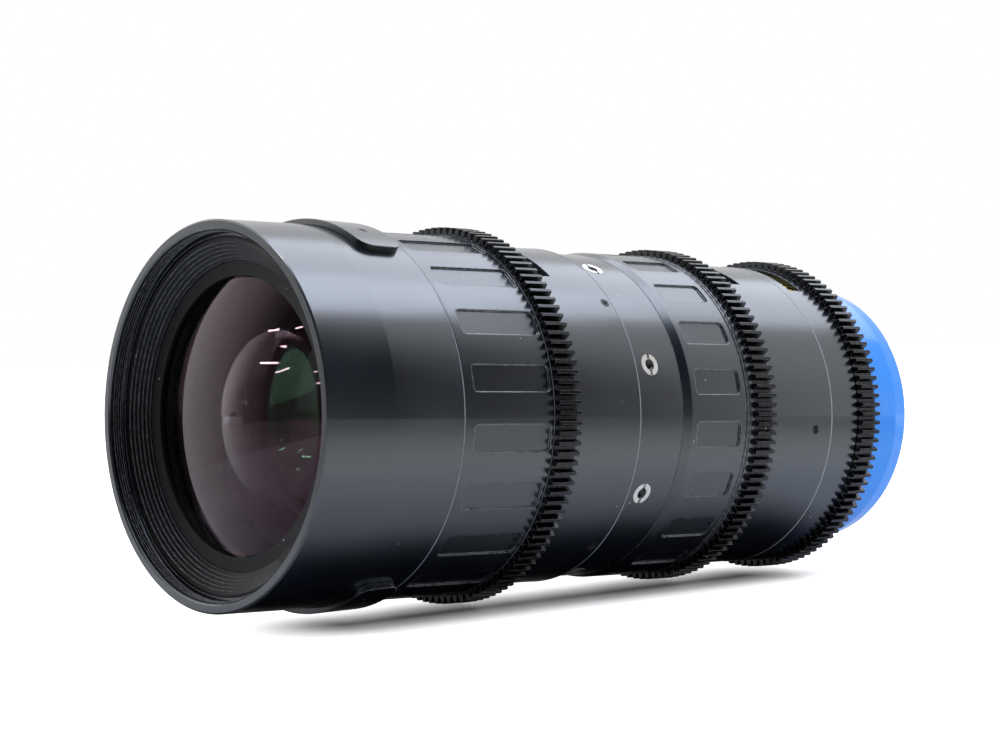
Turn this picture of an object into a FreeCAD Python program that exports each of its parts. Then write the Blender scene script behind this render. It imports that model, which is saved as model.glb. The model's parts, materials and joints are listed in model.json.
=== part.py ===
import FreeCAD, Part
import math
import os
import re
import Sketcher

# A cinema zoom lens lying on its side. The optical axis runs along Y, the front looks towards -Y and
# the camera mount towards +Y. The origin is the centre of the mount's seat. Stations are counted in
# millimetres from the front rim, radii from the optical axis, and angles from the top towards +X.

Vector = FreeCAD.Vector
Rotation = FreeCAD.Rotation
Placement = FreeCAD.Placement

doc = FreeCAD.newDocument("CinemaZoomLens")
sheet = doc.addObject("Spreadsheet::Sheet", "Sizes")

sizes = {
    # main outside sizes
    "frontDiameter": 95.0,
    "focusRingStep": 0.9,
    "middleBarrelStep": 2.95,
    "accessoryStep": 4.0,
    "zoomRingStep": 3.3,
    "rearBarrelStep": 5.15,
    # lengths along the axis
    "frontBarrelLength": 41.0,
    "focusGripLength": 28.9,
    "gearWidth": 7.1,
    "middleBarrelLength": 24.0,
    "accessoryLength": 16.2,
    "zoomGripLength": 26.1,
    "rearBarrelLength": 25.8,
    "irisBarrelLength": 10.7,
    "adapterLength": 3.8,
    # gaps and edges
    "seamGap": 0.2,
    "runningGap": 0.06,
    "seatGap": 0.03,
    "slotGap": 0.15,
    "airGap": 0.3,
    "overCut": 1.0,
    "edgeBreak": 0.4,
    # front barrel
    "rimWidth": 2.5,
    "clampLength": 20.0,
    "frontTaper": 0.7,
    "frontWall": 3.0,
    "threadDepth": 4.0,
    "baffleDepth": 4.0,
    "baffleStep": 1.2,
    "ridgeLand": 0.8,
    "baffleRidges": 6,
    "ridgeShare": 0.6,
    "webLength": 5.0,
    "spigotReach": 5.0,
    "spigotRoot": 3.0,
    # fixed front tube and front glass
    "tubeStep": 6.5,
    "tubeWall": 2.4,
    "glassWall": 3.1,
    "glassGap": 0.1,
    "frontGlassSeat": 14.9,
    "frontGlassDepth": 5.2,
    "frontGlassBackDepth": 13.8,
    "frontGlassThickness": 4.0,
    "frontGlassRim": 3.3,
    "glassShoulder": 2.0,
    "retainingWidth": 3.5,
    "retainingFront": 0.2,
    # key covers, keys and their openings
    "coverSetback": 14.2,
    "coverLength": 12.5,
    "coverThickness": 1.6,
    "coverSpan": 64.0,
    "coverCorner": 3.5,
    "coverScrewAngle": 20.5,
    "openingWidth": 14.0,
    "openingLength": 7.0,
    "openingCorner": 2.0,
    "keyWidth": 6.0,
    "keyLength": 6.0,
    "keyHeight": 2.1,
    "keySink": 0.8,
    "keyCorner": 1.0,
    # grips
    "gripPockets": 20,
    "gripPocketWidth": 6.7,
    "gripPocketDepth": 0.6,
    "gripPocketCorner": 1.2,
    "gripPocketAngle": 6.0,
    "focusGripFront": 3.3,
    "focusGripRear": 1.1,
    "zoomGripFront": 4.7,
    "zoomGripRear": 4.9,
    "grooveWidth": 0.5,
    "grooveDepth": 0.4,
    "groovePitch": 1.2,
    "grooveRear": 1.4,
    "bevelLength": 2.6,
    # gear rings
    "gearModule": 0.8,
    "toothAbove": 1.0,
    "toothBelow": 1.25,
    "toothTip": 0.16,
    "toothRoot": 0.36,
    "gearSeatDepth": 0.9,
    "focusGearRim": 1.27,
    "zoomGearRim": 0.87,
    "irisGearRim": 3.24,
    # focus movement
    "nutThickness": 3.0,
    "nutLength": 16.0,
    "nutRear": 0.7,
    "skirtThickness": 1.4,
    "skirtLength": 29.5,
    "focusTravel": 8.0,
    "lipLength": 5.0,
    "linkPinRadius": 2.0,
    "linkPinAngle": 90.0,
    "focusCellLength": 24.0,
    "focusCellWall": 2.5,
    "focusCellPin": 18.0,
    "focusCellLip": 2.4,
    "focusCellMouth": 28.5,
    "focusFrontDepth": 3.26,
    "focusJoinDepth": 6.04,
    "focusRearDepth": 2.6,
    "focusFrontRim": 5.0,
    "focusRearRim": 10.0,
    # scales and their windows
    "sleeveWall": 1.25,
    "scaleThickness": 0.9,
    "scaleGap": 0.25,
    "scaleLength": 13.4,
    "scaleRoom": 15.0,
    "focusWindowFront": 1.5,
    "focusWindowLength": 7.6,
    "focusWindowSpan": 73.0,
    "zoomWindowFront": 1.7,
    "zoomWindowLength": 8.9,
    "zoomWindowSpan": 62.0,
    "irisWindowFront": 3.0,
    "irisWindowLength": 4.7,
    "irisWindowSpan": 68.0,
    # accessory ring and its threaded inserts
    "insertCount": 8,
    "insertAngle": 27.0,
    "insertRadius": 2.85,
    "insertHole": 1.5,
    "insertDepth": 4.6,
    "insertSlot": 0.8,
    "carrierFront": 3.0,
    "carrierLength": 6.4,
    # screws
    "screwHead": 1.25,
    "screwHeadDepth": 1.0,
    "screwShank": 0.8,
    "screwLength": 2.9,
    "screwGap": 0.05,
    "screwCross": 0.35,
    "screwCrossSpan": 1.6,
    "middleScrewSetback": 2.4,
    "middleScrewAngle": 49.0,
    "rearScrewSetback": 6.5,
    "rearScrewAngle": 95.0,
    # zoom movement
    "zoomTubeStep": 1.5,
    "lipFront": 3.4,
    "drumRoom": 3.3,
    "drumWall": 3.24,
    "guideWall": 2.0,
    "drumEnd": 0.7,
    "zoomAngle": 120.0,
    "followerRadius": 2.5,
    "followerGap": 0.15,
    "followerShort": 0.3,
    "variatorStart": 5.4,
    "variatorTravel": 24.0,
    "compensatorStart": 5.6,
    "compensatorTravel": 10.0,
    "followerAngle": 60.0,
    "cellLong": 10.0,
    "cellShort": 4.0,
    "cellWall": 3.0,
    "cellLip": 2.0,
    "variatorFrontDepth": 3.04,
    "variatorRearDepth": 5.35,
    "variatorRim": 10.4,
    "compensatorFrontDepth": 3.04,
    "compensatorRearDepth": 4.1,
    "compensatorRim": 5.0,
    "drivePinRadius": 1.5,
    "drivePinStation": 1.1,
    "drivePinAngle": 90.0,
    "rearCarrierFront": 2.6,
    "rearCarrierLength": 5.8,
    # iris
    "irisTubeStep": 3.05,
    "irisTubeWall": 2.3,
    "irisWeb": 1.9,
    "irisScaleLength": 8.3,
    "irisSeam": 0.25,
    "irisPinRadius": 0.9,
    "irisPinDepth": 3.0,
    "irisPinReach": 1.8,
    "irisAngle": 60.0,
    "bladeCount": 9,
    "bladeThickness": 0.15,
    "bladePitch": 0.3,
    "bladeGap": 0.1,
    "bladeOpening": 18.0,
    "bladeWidth": 7.0,
    "bladeSpan": 115.0,
    "pivotRadius": 28.0,
    "pivotPin": 0.8,
    "pivotLug": 1.7,
    "bladeMargin": 0.5,
    "pivotEnd": 0.5,
    "pivotAngle": 20.0,
    "housingFront": 3.6,
    "housingPlate": 2.0,
    "housingWall": 3.5,
    "driveRingLength": 2.4,
    "driveRingOpening": 20.0,
    # relay
    "relayReach": 1.0,
    "relayLength": 10.4,
    "relayFlange": 2.0,
    "relayStep": 9.5,
    "relayWall": 3.5,
    "relayLip": 1.5,
    "relayFrontDepth": 3.82,
    "relayRearDepth": 3.38,
    "relayRim": 5.0,
    "rearCellWall": 3.0,
    "rearCellShort": 0.8,
    "rearGlassFront": 6.0,
    "rearGlassRim": 5.0,
    "rearGlassFrontDepth": 3.29,
    "rearGlassRearDepth": 2.06,
    # camera mount
    "adapterPlate": 1.5,
    "adapterStep": 1.35,
    "shimThickness": 0.2,
    "flangeRadius": 34.9,
    "notchDepth": 3.6,
    "notchSpan": 30.0,
    "notchCount": 4,
    "spigotRadius": 27.0,
    "spigotWall": 2.4,
    "spigotLength": 11.0,
    "mountScrewCircle": 30.2,
    "mountScrewCount": 4,
    "mountScrewAngle": 45.0,
    "mountScrewHead": 1.6,
    "mountScrewHeadDepth": 1.0,
    "mountScrewShank": 0.9,
    "mountScrewSink": 0.1,
    "mountScrewReach": 3.2,
    # rear cap
    "capWall": 2.4,
    "capBack": 2.2,
    "capRoom": 3.3,
    "capTaper": 0.8,
    "capTaperLength": 5.6,
    "capEdge": 0.6,
}

for row, (alias, number) in enumerate(sizes.items(), start=1):
    sheet.set(f"A{row}", alias)
    sheet.set(f"B{row}", str(number))
    sheet.setAlias(f"B{row}", alias)
doc.recompute()


# expressions

def cells(text):
    """The same sum with each size read from the sheet."""
    return re.sub(r"[A-Za-z]+", lambda word: f"Sizes.{word[0]}" if word[0] in sizes else word[0], text)


def value(text):
    return float(sheet.evalExpression(cells(text)))


def curve(radius, depth):
    """Radius of the sphere that falls back by a depth at a radius from the axis."""
    return f"((({radius}) ^ 2 + {depth} ^ 2) / (2 * {depth}))"


def sag(sphere, radius):
    """How far a spherical face has fallen back at a radius."""
    return f"({sphere} - sqrt({sphere} ^ 2 - ({radius}) ^ 2))"


# radii worked out from the front diameter inwards
frontRadius = "(frontDiameter / 2)"
frontRearRadius = f"({frontRadius} - frontTaper)"
focusRadius = f"({frontRadius} - focusRingStep)"
middleRadius = f"({frontRadius} - middleBarrelStep)"
accessoryRadius = f"({frontRadius} - accessoryStep)"
zoomRadius = f"({frontRadius} - zoomRingStep)"
rearRadius = f"({frontRadius} - rearBarrelStep)"
tubeOuter = f"({frontRadius} - tubeStep)"
tubeInner = f"({tubeOuter} - tubeWall)"
nutInner = f"({tubeOuter} + runningGap)"
nutOuter = f"({nutInner} + nutThickness)"
skirtOuter = f"({nutInner} + skirtThickness)"
focusRingInner = f"({nutOuter} + runningGap)"
focusSeat = f"({focusRadius} - gearSeatDepth)"
zoomSeat = f"({zoomRadius} - gearSeatDepth)"
zoomTubeOuter = f"({tubeOuter} - zoomTubeStep)"
drumOuter = f"({tubeInner} - drumRoom)"
drumInner = f"({drumOuter} - drumWall)"
guideOuter = f"({drumInner} - runningGap)"
guideInner = f"({guideOuter} - guideWall)"
cellOuter = f"({guideInner} - runningGap)"
glassBore = f"({tubeOuter} - glassWall)"
frontGlassRadius = f"({glassBore} - glassGap)"
irisTubeOuter = f"({rearRadius} - irisTubeStep)"
irisTubeInner = f"({irisTubeOuter} - irisTubeWall)"
adapterRadius = f"({rearRadius} - adapterStep)"
spigotBore = "(spigotRadius - spigotWall)"

# stations worked out from the front rim backwards
tubeFront = "(threadDepth + baffleDepth)"
focusFront = "(frontBarrelLength + seamGap)"
focusGearFront = f"({focusFront} + focusGripLength)"
focusRear = f"({focusGearFront} + gearWidth)"
middleFront = f"({focusRear} + seamGap)"
accessoryFront = f"({middleFront} + middleBarrelLength)"
accessoryRear = f"({accessoryFront} + accessoryLength)"
zoomFront = f"({accessoryRear} + seamGap)"
zoomGearFront = f"({zoomFront} + zoomGripLength)"
zoomRear = f"({zoomGearFront} + gearWidth)"
rearFront = f"({zoomRear} + seamGap)"
irisBarrelFront = f"({rearFront} + rearBarrelLength)"
irisRingFront = f"({irisBarrelFront} + irisBarrelLength + seamGap)"
irisRingRear = f"({irisRingFront} + gearWidth)"
adapterFront = f"({irisRingRear} + seamGap)"
flange = f"({adapterFront} + adapterLength)"
nutBack = f"({focusRear} - lipLength - nutRear)"
nutFront = f"({nutBack} - nutLength)"
linkStation = f"({nutBack} - nutLength / 2)"
carrierStart = f"({accessoryFront} + carrierFront)"
carrierEnd = f"({carrierStart} + carrierLength)"
zoomTubeRear = f"({rearFront} + scaleRoom + rearCarrierFront)"
rearCarrierEnd = f"({zoomTubeRear} + rearCarrierLength)"
drumFront = f"({carrierEnd} + drumEnd)"
drumRear = f"({zoomTubeRear} - drumEnd)"
variatorStation = f"({drumFront} + variatorStart)"
compensatorStation = f"({drumRear} - compensatorStart)"
drivePin = f"({zoomGearFront} + drivePinStation)"
housingStart = f"({irisRingFront} - housingFront)"
bladesStart = f"({housingStart} + housingPlate + bladeGap)"
bladesRear = f"({bladesStart} + bladeCount * bladePitch)"
driveRingFront = f"({bladesRear} + airGap)"
driveRingRear = f"({driveRingFront} + driveRingLength)"
rearCellFront = f"({driveRingRear} + airGap)"


# building blocks

nodes = []


def keep(piece, name, station):
    """Name a sub-part and put its front end at its station."""
    piece.Label = name
    if station is not None:
        piece.setExpression(".Placement.Base.y", cells(f"{station} - {flange}"))
    nodes.append(piece)
    return piece


def newSketch(body, name, role):
    sketch = body.newObject("Sketcher::SketchObject", name)
    plane = [item for item in body.Origin.OriginFeatures if item.Role == role][0]
    sketch.AttachmentSupport = [(plane, "")]
    sketch.MapMode = "FlatFace"
    return sketch


def setSize(sketch, kind, first, second, name, text):
    """Bind one dimension of a sketch to the sheet."""
    index = sketch.addConstraint(Sketcher.Constraint(kind, *first, *second, value(text)))
    sketch.renameConstraint(index, name)
    sketch.setExpression(f"Constraints.{name}", cells(text))


def outline(sketch, points):
    """A closed outline of straight lines through (across, along) points given as sums of sizes."""
    corners = [Vector(value(across), value(along), 0) for across, along in points]
    count = len(points)
    for i in range(count):
        sketch.addGeometry(Part.LineSegment(corners[i], corners[(i + 1) % count]), False)
    joins = [Sketcher.Constraint("Coincident", i, 2, (i + 1) % count, 1) for i in range(count)]
    sketch.addConstraint(joins)
    axes = (("DistanceX", "Vertical", -2), ("DistanceY", "Horizontal", -1))
    for i, point in enumerate(points):
        for text, (kind, level, axis), before in zip(point, axes, points[i - 1]):
            if i and text == before:
                sketch.addConstraint(Sketcher.Constraint(level, i - 1))
            elif text == "0":
                sketch.addConstraint(Sketcher.Constraint("PointOnObject", i, 1, axis))
            else:
                setSize(sketch, kind, (-1, 1), (i, 1), f"{kind}{i}", text)


def turned(name, station, points):
    """A ring or tube turned about the optical axis from its (radius, length) outline."""
    body = doc.addObject("PartDesign::Body", name)
    sketch = newSketch(body, f"{name}_profile", "XY_Plane")
    outline(sketch, points)
    turn = body.newObject("PartDesign::Revolution", f"{name}_turn")
    turn.Profile = sketch
    turn.ReferenceAxis = (sketch, ["V_Axis"])
    turn.Angle = 360
    sketch.Visibility = False
    return keep(body, name, station)


def tube(inner, outer, length):
    return [(inner, "0"), (outer, "0"), (outer, length), (inner, length)]


def patterned(body, feature, name, count):
    """Repeat a feature evenly round the optical axis."""
    doc.recompute()
    pattern = body.newObject("PartDesign::PolarPattern", name)
    pattern.Originals = [feature]
    axis = [item for item in body.Origin.OriginFeatures if item.Role == "Y_Axis"][0]
    pattern.Axis = (axis, [""])
    pattern.Angle = 360
    pattern.setExpression("Occurrences", cells(count))
    body.Tip = pattern
    return pattern


def window(body, name, low, high, front, length, span, angle="0", count=None):
    """An opening round part of a wall, between two radii, its middle at an angle from the top."""
    sketch = newSketch(body, f"{name}_profile", "YZ_Plane")
    rear = f"({front} + {length})"
    outline(sketch, [(front, low), (rear, low), (rear, high), (front, high)])
    sketch.AttachmentOffset = Placement(Vector(), Rotation(Vector(1, 0, 0), value(angle)))
    cut = body.newObject("PartDesign::Groove", name)
    cut.Profile = sketch
    cut.ReferenceAxis = (sketch, ["H_Axis"])
    cut.setExpression("Angle", cells(span))
    cut.Midplane = True
    if count:
        patterned(body, cut, f"{name}_pattern", count)
    return cut


def raisedSketch(body, name, height, angle):
    """A sketch on a level that faces out from the axis at an angle from the top."""
    sketch = newSketch(body, name, "XY_Plane")
    turn = math.radians(value(angle))
    sketch.AttachmentOffset = Placement(Vector(math.sin(turn), 0, math.cos(turn)) * value(height),
                                        Rotation(Vector(0, 1, 0), value(angle)))
    sketch.setExpression(".AttachmentOffset.Base.x", cells(f"({height}) * sin({angle})"))
    sketch.setExpression(".AttachmentOffset.Base.z", cells(f"({height}) * cos({angle})"))
    return sketch


def outwardPocket(body, sketch, name, count):
    """Cut everything that lies outside a raised sketch, then repeat the cut round the axis."""
    pocket = body.newObject("PartDesign::Pocket", name)
    pocket.Profile = sketch
    pocket.Reversed = True
    pocket.Type = "ThroughAll"
    patterned(body, pocket, f"{name}_pattern", count)


def slotPockets(body, name, floor, width, front, rear, corner, angle, count):
    """Pockets with rounded corners, cut from outside down to a floor radius."""
    sketch = raisedSketch(body, f"{name}_sketch", floor, angle)
    half, low, high, radius = value(f"({width}) / 2"), value(front), value(rear), value(corner)
    inner, bottom, top = half - radius, low + radius, high - radius
    runs = [((-inner, low), (inner, low)), ((half, bottom), (half, top)),
            ((inner, high), (-inner, high)), ((-half, top), (-half, bottom))]
    for start, end in runs:
        sketch.addGeometry(Part.LineSegment(Vector(*start, 0), Vector(*end, 0)), False)
    for turn, (x, y) in enumerate(((inner, bottom), (inner, top), (-inner, top), (-inner, bottom))):
        circle = Part.Circle(Vector(x, y, 0), Vector(0, 0, 1), radius)
        begin = (turn - 1) * math.pi / 2
        sketch.addGeometry(Part.ArcOfCircle(circle, begin, begin + math.pi / 2), False)
    rules = []
    for i in range(4):
        rules.append(Sketcher.Constraint("Tangent", i, 2, 4 + i, 1))
        rules.append(Sketcher.Constraint("Tangent", 4 + i, 2, (i + 1) % 4, 1))
        rules.append(Sketcher.Constraint("Vertical" if i % 2 else "Horizontal", i))
        if i:
            rules.append(Sketcher.Constraint("Equal", 4, 4 + i))
    sketch.addConstraint(rules)
    setSize(sketch, "Radius", (4,), (), "corner", corner)
    setSize(sketch, "DistanceX", (-1, 1), (1, 1), "rightSide", f"({width}) / 2")
    setSize(sketch, "DistanceX", (3, 1), (-1, 1), "leftSide", f"({width}) / 2")
    setSize(sketch, "DistanceY", (-1, 1), (0, 1), "frontEnd", front)
    setSize(sketch, "DistanceY", (-1, 1), (2, 1), "rearEnd", rear)
    outwardPocket(body, sketch, name, count)


def roundPockets(body, name, floor, radius, station, angle, count):
    """Round holes, drilled from outside down to a floor radius."""
    sketch = raisedSketch(body, f"{name}_sketch", floor, angle)
    middle = Vector(0, value(station), 0)
    sketch.addGeometry(Part.Circle(middle, Vector(0, 0, 1), value(radius)), False)
    sketch.addConstraint(Sketcher.Constraint("PointOnObject", 0, 3, -2))
    setSize(sketch, "Radius", (0,), (), "holeRadius", radius)
    setSize(sketch, "DistanceY", (-1, 1), (0, 3), "holeStation", station)
    outwardPocket(body, sketch, name, count)


def behindLip(depth, radius, lip):
    """How far back a bulging face puts the glass's edge, for the face to clear a lip of a smaller radius."""
    return f"({depth} - {sag(curve(radius, depth), lip)} + seatGap)"


def lens(name, station, radius, rim, frontDepth, rearDepth, frontSide, rearSide):
    """A glass element turned from two spherical faces.

    A side of 1 bulges outwards and one of -1 is hollow. The flat rim that a hollow face leaves is as
    wide as the seat needs, and the edge starts at the station.
    """
    body = doc.addObject("PartDesign::Body", name)
    sketch = newSketch(body, f"{name}_profile", "XY_Plane")
    edge, width = value(radius), value(rim)
    frontCurve, rearCurve = curve(radius, frontDepth), curve(radius, rearDepth)
    front, rear = value(frontCurve), value(rearCurve)
    frontPole = -frontSide * value(frontDepth)
    rearPole = width + rearSide * value(rearDepth)
    frontCentre = frontPole + frontSide * front
    rearCentre = rearPole - rearSide * rear
    sketch.addGeometry(Part.LineSegment(Vector(0, frontPole, 0), Vector(0, rearPole, 0)), False)
    sketch.addGeometry(Part.LineSegment(Vector(edge, 0, 0), Vector(edge, width, 0)), False)
    for centre, ball, pole, end in ((frontCentre, front, frontPole, 0), (rearCentre, rear, rearPole, width)):
        angles = sorted((math.atan2(pole - centre, 0), math.atan2(end - centre, edge)))
        circle = Part.Circle(Vector(0, centre, 0), Vector(0, 0, 1), ball)
        sketch.addGeometry(Part.ArcOfCircle(circle, angles[0], angles[1]), False)
    rules = [Sketcher.Constraint("PointOnObject", 2, 3, -2), Sketcher.Constraint("PointOnObject", 3, 3, -2)]
    rules.append(Sketcher.Constraint("PointOnObject", 0, 1, -2))
    rules.append(Sketcher.Constraint("PointOnObject", 0, 2, -2))
    rules.append(Sketcher.Constraint("PointOnObject", 1, 1, -1))
    rules.append(Sketcher.Constraint("Vertical", 1))
    frontPoleEnd = 1 if frontSide > 0 else 2
    rearPoleEnd = 2 if rearSide > 0 else 1
    rules.append(Sketcher.Constraint("Coincident", 0, 1, 2, frontPoleEnd))
    rules.append(Sketcher.Constraint("Coincident", 0, 2, 3, rearPoleEnd))
    rules.append(Sketcher.Constraint("Coincident", 1, 1, 2, 3 - frontPoleEnd))
    rules.append(Sketcher.Constraint("Coincident", 1, 2, 3, 3 - rearPoleEnd))
    sketch.addConstraint(rules)
    setSize(sketch, "DistanceX", (-1, 1), (1, 1), "edgeRadius", radius)
    setSize(sketch, "DistanceY", (-1, 1), (1, 2), "rimWidth", rim)
    setSize(sketch, "Radius", (2,), (), "frontCurve", frontCurve)
    setSize(sketch, "Radius", (3,), (), "rearCurve", rearCurve)
    turn = body.newObject("PartDesign::Revolution", f"{name}_turn")
    turn.Profile = sketch
    turn.ReferenceAxis = (sketch, ["V_Axis"])
    turn.Angle = 360
    sketch.Visibility = False
    return keep(body, name, station)


def around(shape, angle):
    copy = shape.copy()
    copy.rotate(Vector(), Vector(0, 1, 0), angle)
    return copy


def outwardCylinder(radius, low, high, along=0.0):
    """A round pin that points out from the axis at the top, from one radius to another."""
    return Part.makeCylinder(radius, high - low, Vector(0, along, low), Vector(0, 0, 1))


def group(name, station, shape, angles):
    """Identical pieces round the axis, kept together in one sub-part."""
    piece = doc.addObject("Part::Feature", name)
    piece.Shape = Part.makeCompound([around(shape, angle) for angle in angles])
    return keep(piece, name, station)


def spread(first, count):
    return [first + 360.0 * i / count for i in range(int(count))]


def screw(top, length):
    """A small black screw with a cross recess, its head flush with an outside radius."""
    head = value("screwHead")
    body = outwardCylinder(head, top - value("screwHeadDepth"), top)
    body = body.fuse(outwardCylinder(value("screwShank"), top - length, top - value("screwHeadDepth") / 2))
    arm, span, depth = value("screwCross"), value("screwCrossSpan"), value("screwHeadDepth") / 2
    for wide, long in ((span, arm), (arm, span)):
        corner = Vector(-wide / 2, -long / 2, top - depth)
        body = body.cut(Part.makeBox(wide, long, depth * 2, corner))
    return body


# front barrel, with the filter thread's bore, the web on the front tube and the focus ring's bearing

def taperRadius(station):
    return f"({frontRadius} - frontTaper * ({station} - clampLength) / (frontBarrelLength - clampLength))"


filterRadius = f"({frontRadius} - rimWidth)"
baffleSeat = f"({filterRadius} - baffleStep)"
frontCavity = f"({frontRadius} - frontWall)"
bearingOuter = f"({focusRingInner} - runningGap)"
bearingInner = f"({skirtOuter} + airGap)"
tubeSeat = f"({tubeOuter} + seatGap)"
webRear = f"({tubeFront} + webLength)"

frontBarrel = turned("front_barrel", "0", [
    (f"({filterRadius} + edgeBreak)", "0"),
    (f"({frontRadius} - edgeBreak)", "0"),
    (frontRadius, "edgeBreak"),
    (frontRadius, "clampLength"),
    (frontRearRadius, "frontBarrelLength"),
    (bearingOuter, "frontBarrelLength"),
    (bearingOuter, "(frontBarrelLength + spigotReach)"),
    (bearingInner, "(frontBarrelLength + spigotReach)"),
    (bearingInner, "(frontBarrelLength - spigotRoot)"),
    (frontCavity, "(frontBarrelLength - spigotRoot)"),
    (frontCavity, webRear),
    (tubeSeat, webRear),
    (tubeSeat, tubeFront),
    (baffleSeat, tubeFront),
    (baffleSeat, "threadDepth"),
    (filterRadius, "threadDepth"),
    (filterRadius, "edgeBreak"),
])
coverFront = "(frontBarrelLength - coverSetback)"
coverMiddle = f"({coverFront} + coverLength / 2)"
slotPockets(frontBarrel, "key_opening", tubeOuter, "openingWidth", f"({coverMiddle} - openingLength / 2)",
            f"({coverMiddle} + openingLength / 2)", "openingCorner", "0", "2")
for sign, side in (("", "near"), ("-", "far")):
    roundPockets(frontBarrel, f"cover_screw_{side}", f"({frontCavity} + airGap)",
                 "screwShank + screwGap", coverMiddle, f"{sign}coverScrewAngle", "2")

# the ridged ring that keeps stray light out, behind the filter thread
ridgeInner = f"({frontGlassRadius} + glassGap)"
ridgeTop = f"({baffleSeat} - ridgeLand)"
ridges = []
for i in range(int(value("baffleRidges"))):
    here = f"({ridgeTop} - ({ridgeTop} - {ridgeInner}) * {i} / baffleRidges)"
    after = f"({ridgeTop} - ({ridgeTop} - {ridgeInner}) * {i + 1} / baffleRidges)"
    ridges.append((here, f"(baffleDepth * {i} / baffleRidges)" if i else "0"))
    ridges.append((after, f"(baffleDepth * ({i} + ridgeShare) / baffleRidges)"))
ridges.append((ridgeInner, "baffleDepth"))
turned("front_baffle_ring", "threadDepth", [
    (f"({baffleSeat} - seatGap)", "baffleDepth"),
    (f"({baffleSeat} - seatGap)", "0"),
    *ridges,
])

# the fixed tube that carries the front glass and guides the focus cell
glassSeat = "frontGlassSeat"
shoulderRear = f"({glassSeat} + glassShoulder)"
backOpening = f"({frontGlassRadius} - frontGlassRim)"
tubeLength = f"({accessoryFront} - {tubeFront})"
frontTube = turned("front_tube", tubeFront, [
    (glassBore, "0"),
    (tubeOuter, "0"),
    (tubeOuter, tubeLength),
    (tubeInner, tubeLength),
    (tubeInner, shoulderRear),
    (backOpening, shoulderRear),
    (backOpening, glassSeat),
    (glassBore, glassSeat),
])
slotPockets(frontTube, "link_slot", f"({tubeInner} - tubeWall)", "(2 * linkPinRadius + 2 * runningGap)",
            f"({linkStation} - focusTravel - linkPinRadius - airGap - {tubeFront})",
            f"({linkStation} + linkPinRadius + airGap - {tubeFront})", "linkPinRadius", "linkPinAngle", "3")
slotPockets(frontTube, "key_seat", f"({tubeOuter} - keySink)", "(keyWidth + 2 * seatGap)",
            f"({coverMiddle} - keyLength / 2 - seatGap - {tubeFront})",
            f"({coverMiddle} + keyLength / 2 + seatGap - {tubeFront})", "keyCorner", "0", "2")

# the front glass, a deep meniscus, and the ring that holds it
frontGlassCurve = curve(frontGlassRadius, "frontGlassDepth")
backPole = "(frontGlassSeat - frontGlassBackDepth)"
frontPole = f"({backPole} - frontGlassThickness)"


def frontGlassFace(radius):
    """Station of the front glass's outer face, from the front end of the tube."""
    return f"({frontPole} + {sag(frontGlassCurve, radius)})"


def frontGlass():
    body = doc.addObject("PartDesign::Body", "front_element")
    sketch = newSketch(body, "front_element_profile", "XY_Plane")
    radius, opening, seat = value(frontGlassRadius), value(backOpening), value("frontGlassSeat")
    backCurve = curve(backOpening, "frontGlassBackDepth")
    front, back = value(frontGlassCurve), value(backCurve)
    lowPole, highPole, edge = value(frontPole), value(backPole), value(frontGlassFace(frontGlassRadius))
    pieces = [((0, lowPole), (0, highPole)), ((opening, seat), (radius, seat)),
              ((radius, seat), (radius, edge))]
    for start, end in pieces:
        line = Part.LineSegment(Vector(start[0], start[1] + seat, 0), Vector(end[0], end[1] + seat, 0))
        sketch.addGeometry(line, False)
    for ball, pole, end, along in ((front, lowPole, radius, edge), (back, highPole, opening, seat)):
        centre = pole + ball
        circle = Part.Circle(Vector(0, centre + seat, 0), Vector(0, 0, 1), ball)
        last = math.atan2(along - centre, end)
        sketch.addGeometry(Part.ArcOfCircle(circle, -math.pi / 2, last), False)
    rules = [Sketcher.Constraint("Coincident", 0, 1, 3, 1), Sketcher.Constraint("Coincident", 0, 2, 4, 1)]
    rules.append(Sketcher.Constraint("Coincident", 4, 2, 1, 1))
    rules.append(Sketcher.Constraint("Coincident", 1, 2, 2, 1))
    rules.append(Sketcher.Constraint("Coincident", 2, 2, 3, 2))
    rules.append(Sketcher.Constraint("Horizontal", 1))
    rules.append(Sketcher.Constraint("Vertical", 2))
    for item, corner in ((0, 1), (0, 2), (3, 3), (4, 3)):
        rules.append(Sketcher.Constraint("PointOnObject", item, corner, -2))
    sketch.addConstraint(rules)
    setSize(sketch, "Radius", (3,), (), "frontCurve", frontGlassCurve)
    setSize(sketch, "Radius", (4,), (), "backCurve", backCurve)
    setSize(sketch, "DistanceX", (-1, 1), (1, 1), "backOpening", backOpening)
    setSize(sketch, "DistanceX", (-1, 1), (1, 2), "edgeRadius", frontGlassRadius)
    setSize(sketch, "DistanceY", (-1, 1), (1, 1), "seat", "2 * frontGlassSeat")
    setSize(sketch, "DistanceY", (0, 1), (0, 2), "thickness", "frontGlassThickness")
    turn = body.newObject("PartDesign::Revolution", "front_element_turn")
    turn.Profile = sketch
    turn.ReferenceAxis = (sketch, ["V_Axis"])
    turn.Angle = 360
    sketch.Visibility = False
    keep(body, "front_element", f"({tubeFront} - frontGlassSeat)")


frontGlass()

ringInner = f"({frontGlassRadius} - retainingWidth)"
turned("front_retaining_ring", tubeFront, [
    (ringInner, "(2 * retainingFront)"),
    (frontGlassRadius, "retainingFront"),
    (frontGlassRadius, f"({frontGlassFace(frontGlassRadius)} - runningGap)"),
    (ringInner, f"({frontGlassFace(ringInner)} - runningGap)"),
])

# the curved plates over the two openings that reach the keys

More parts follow.
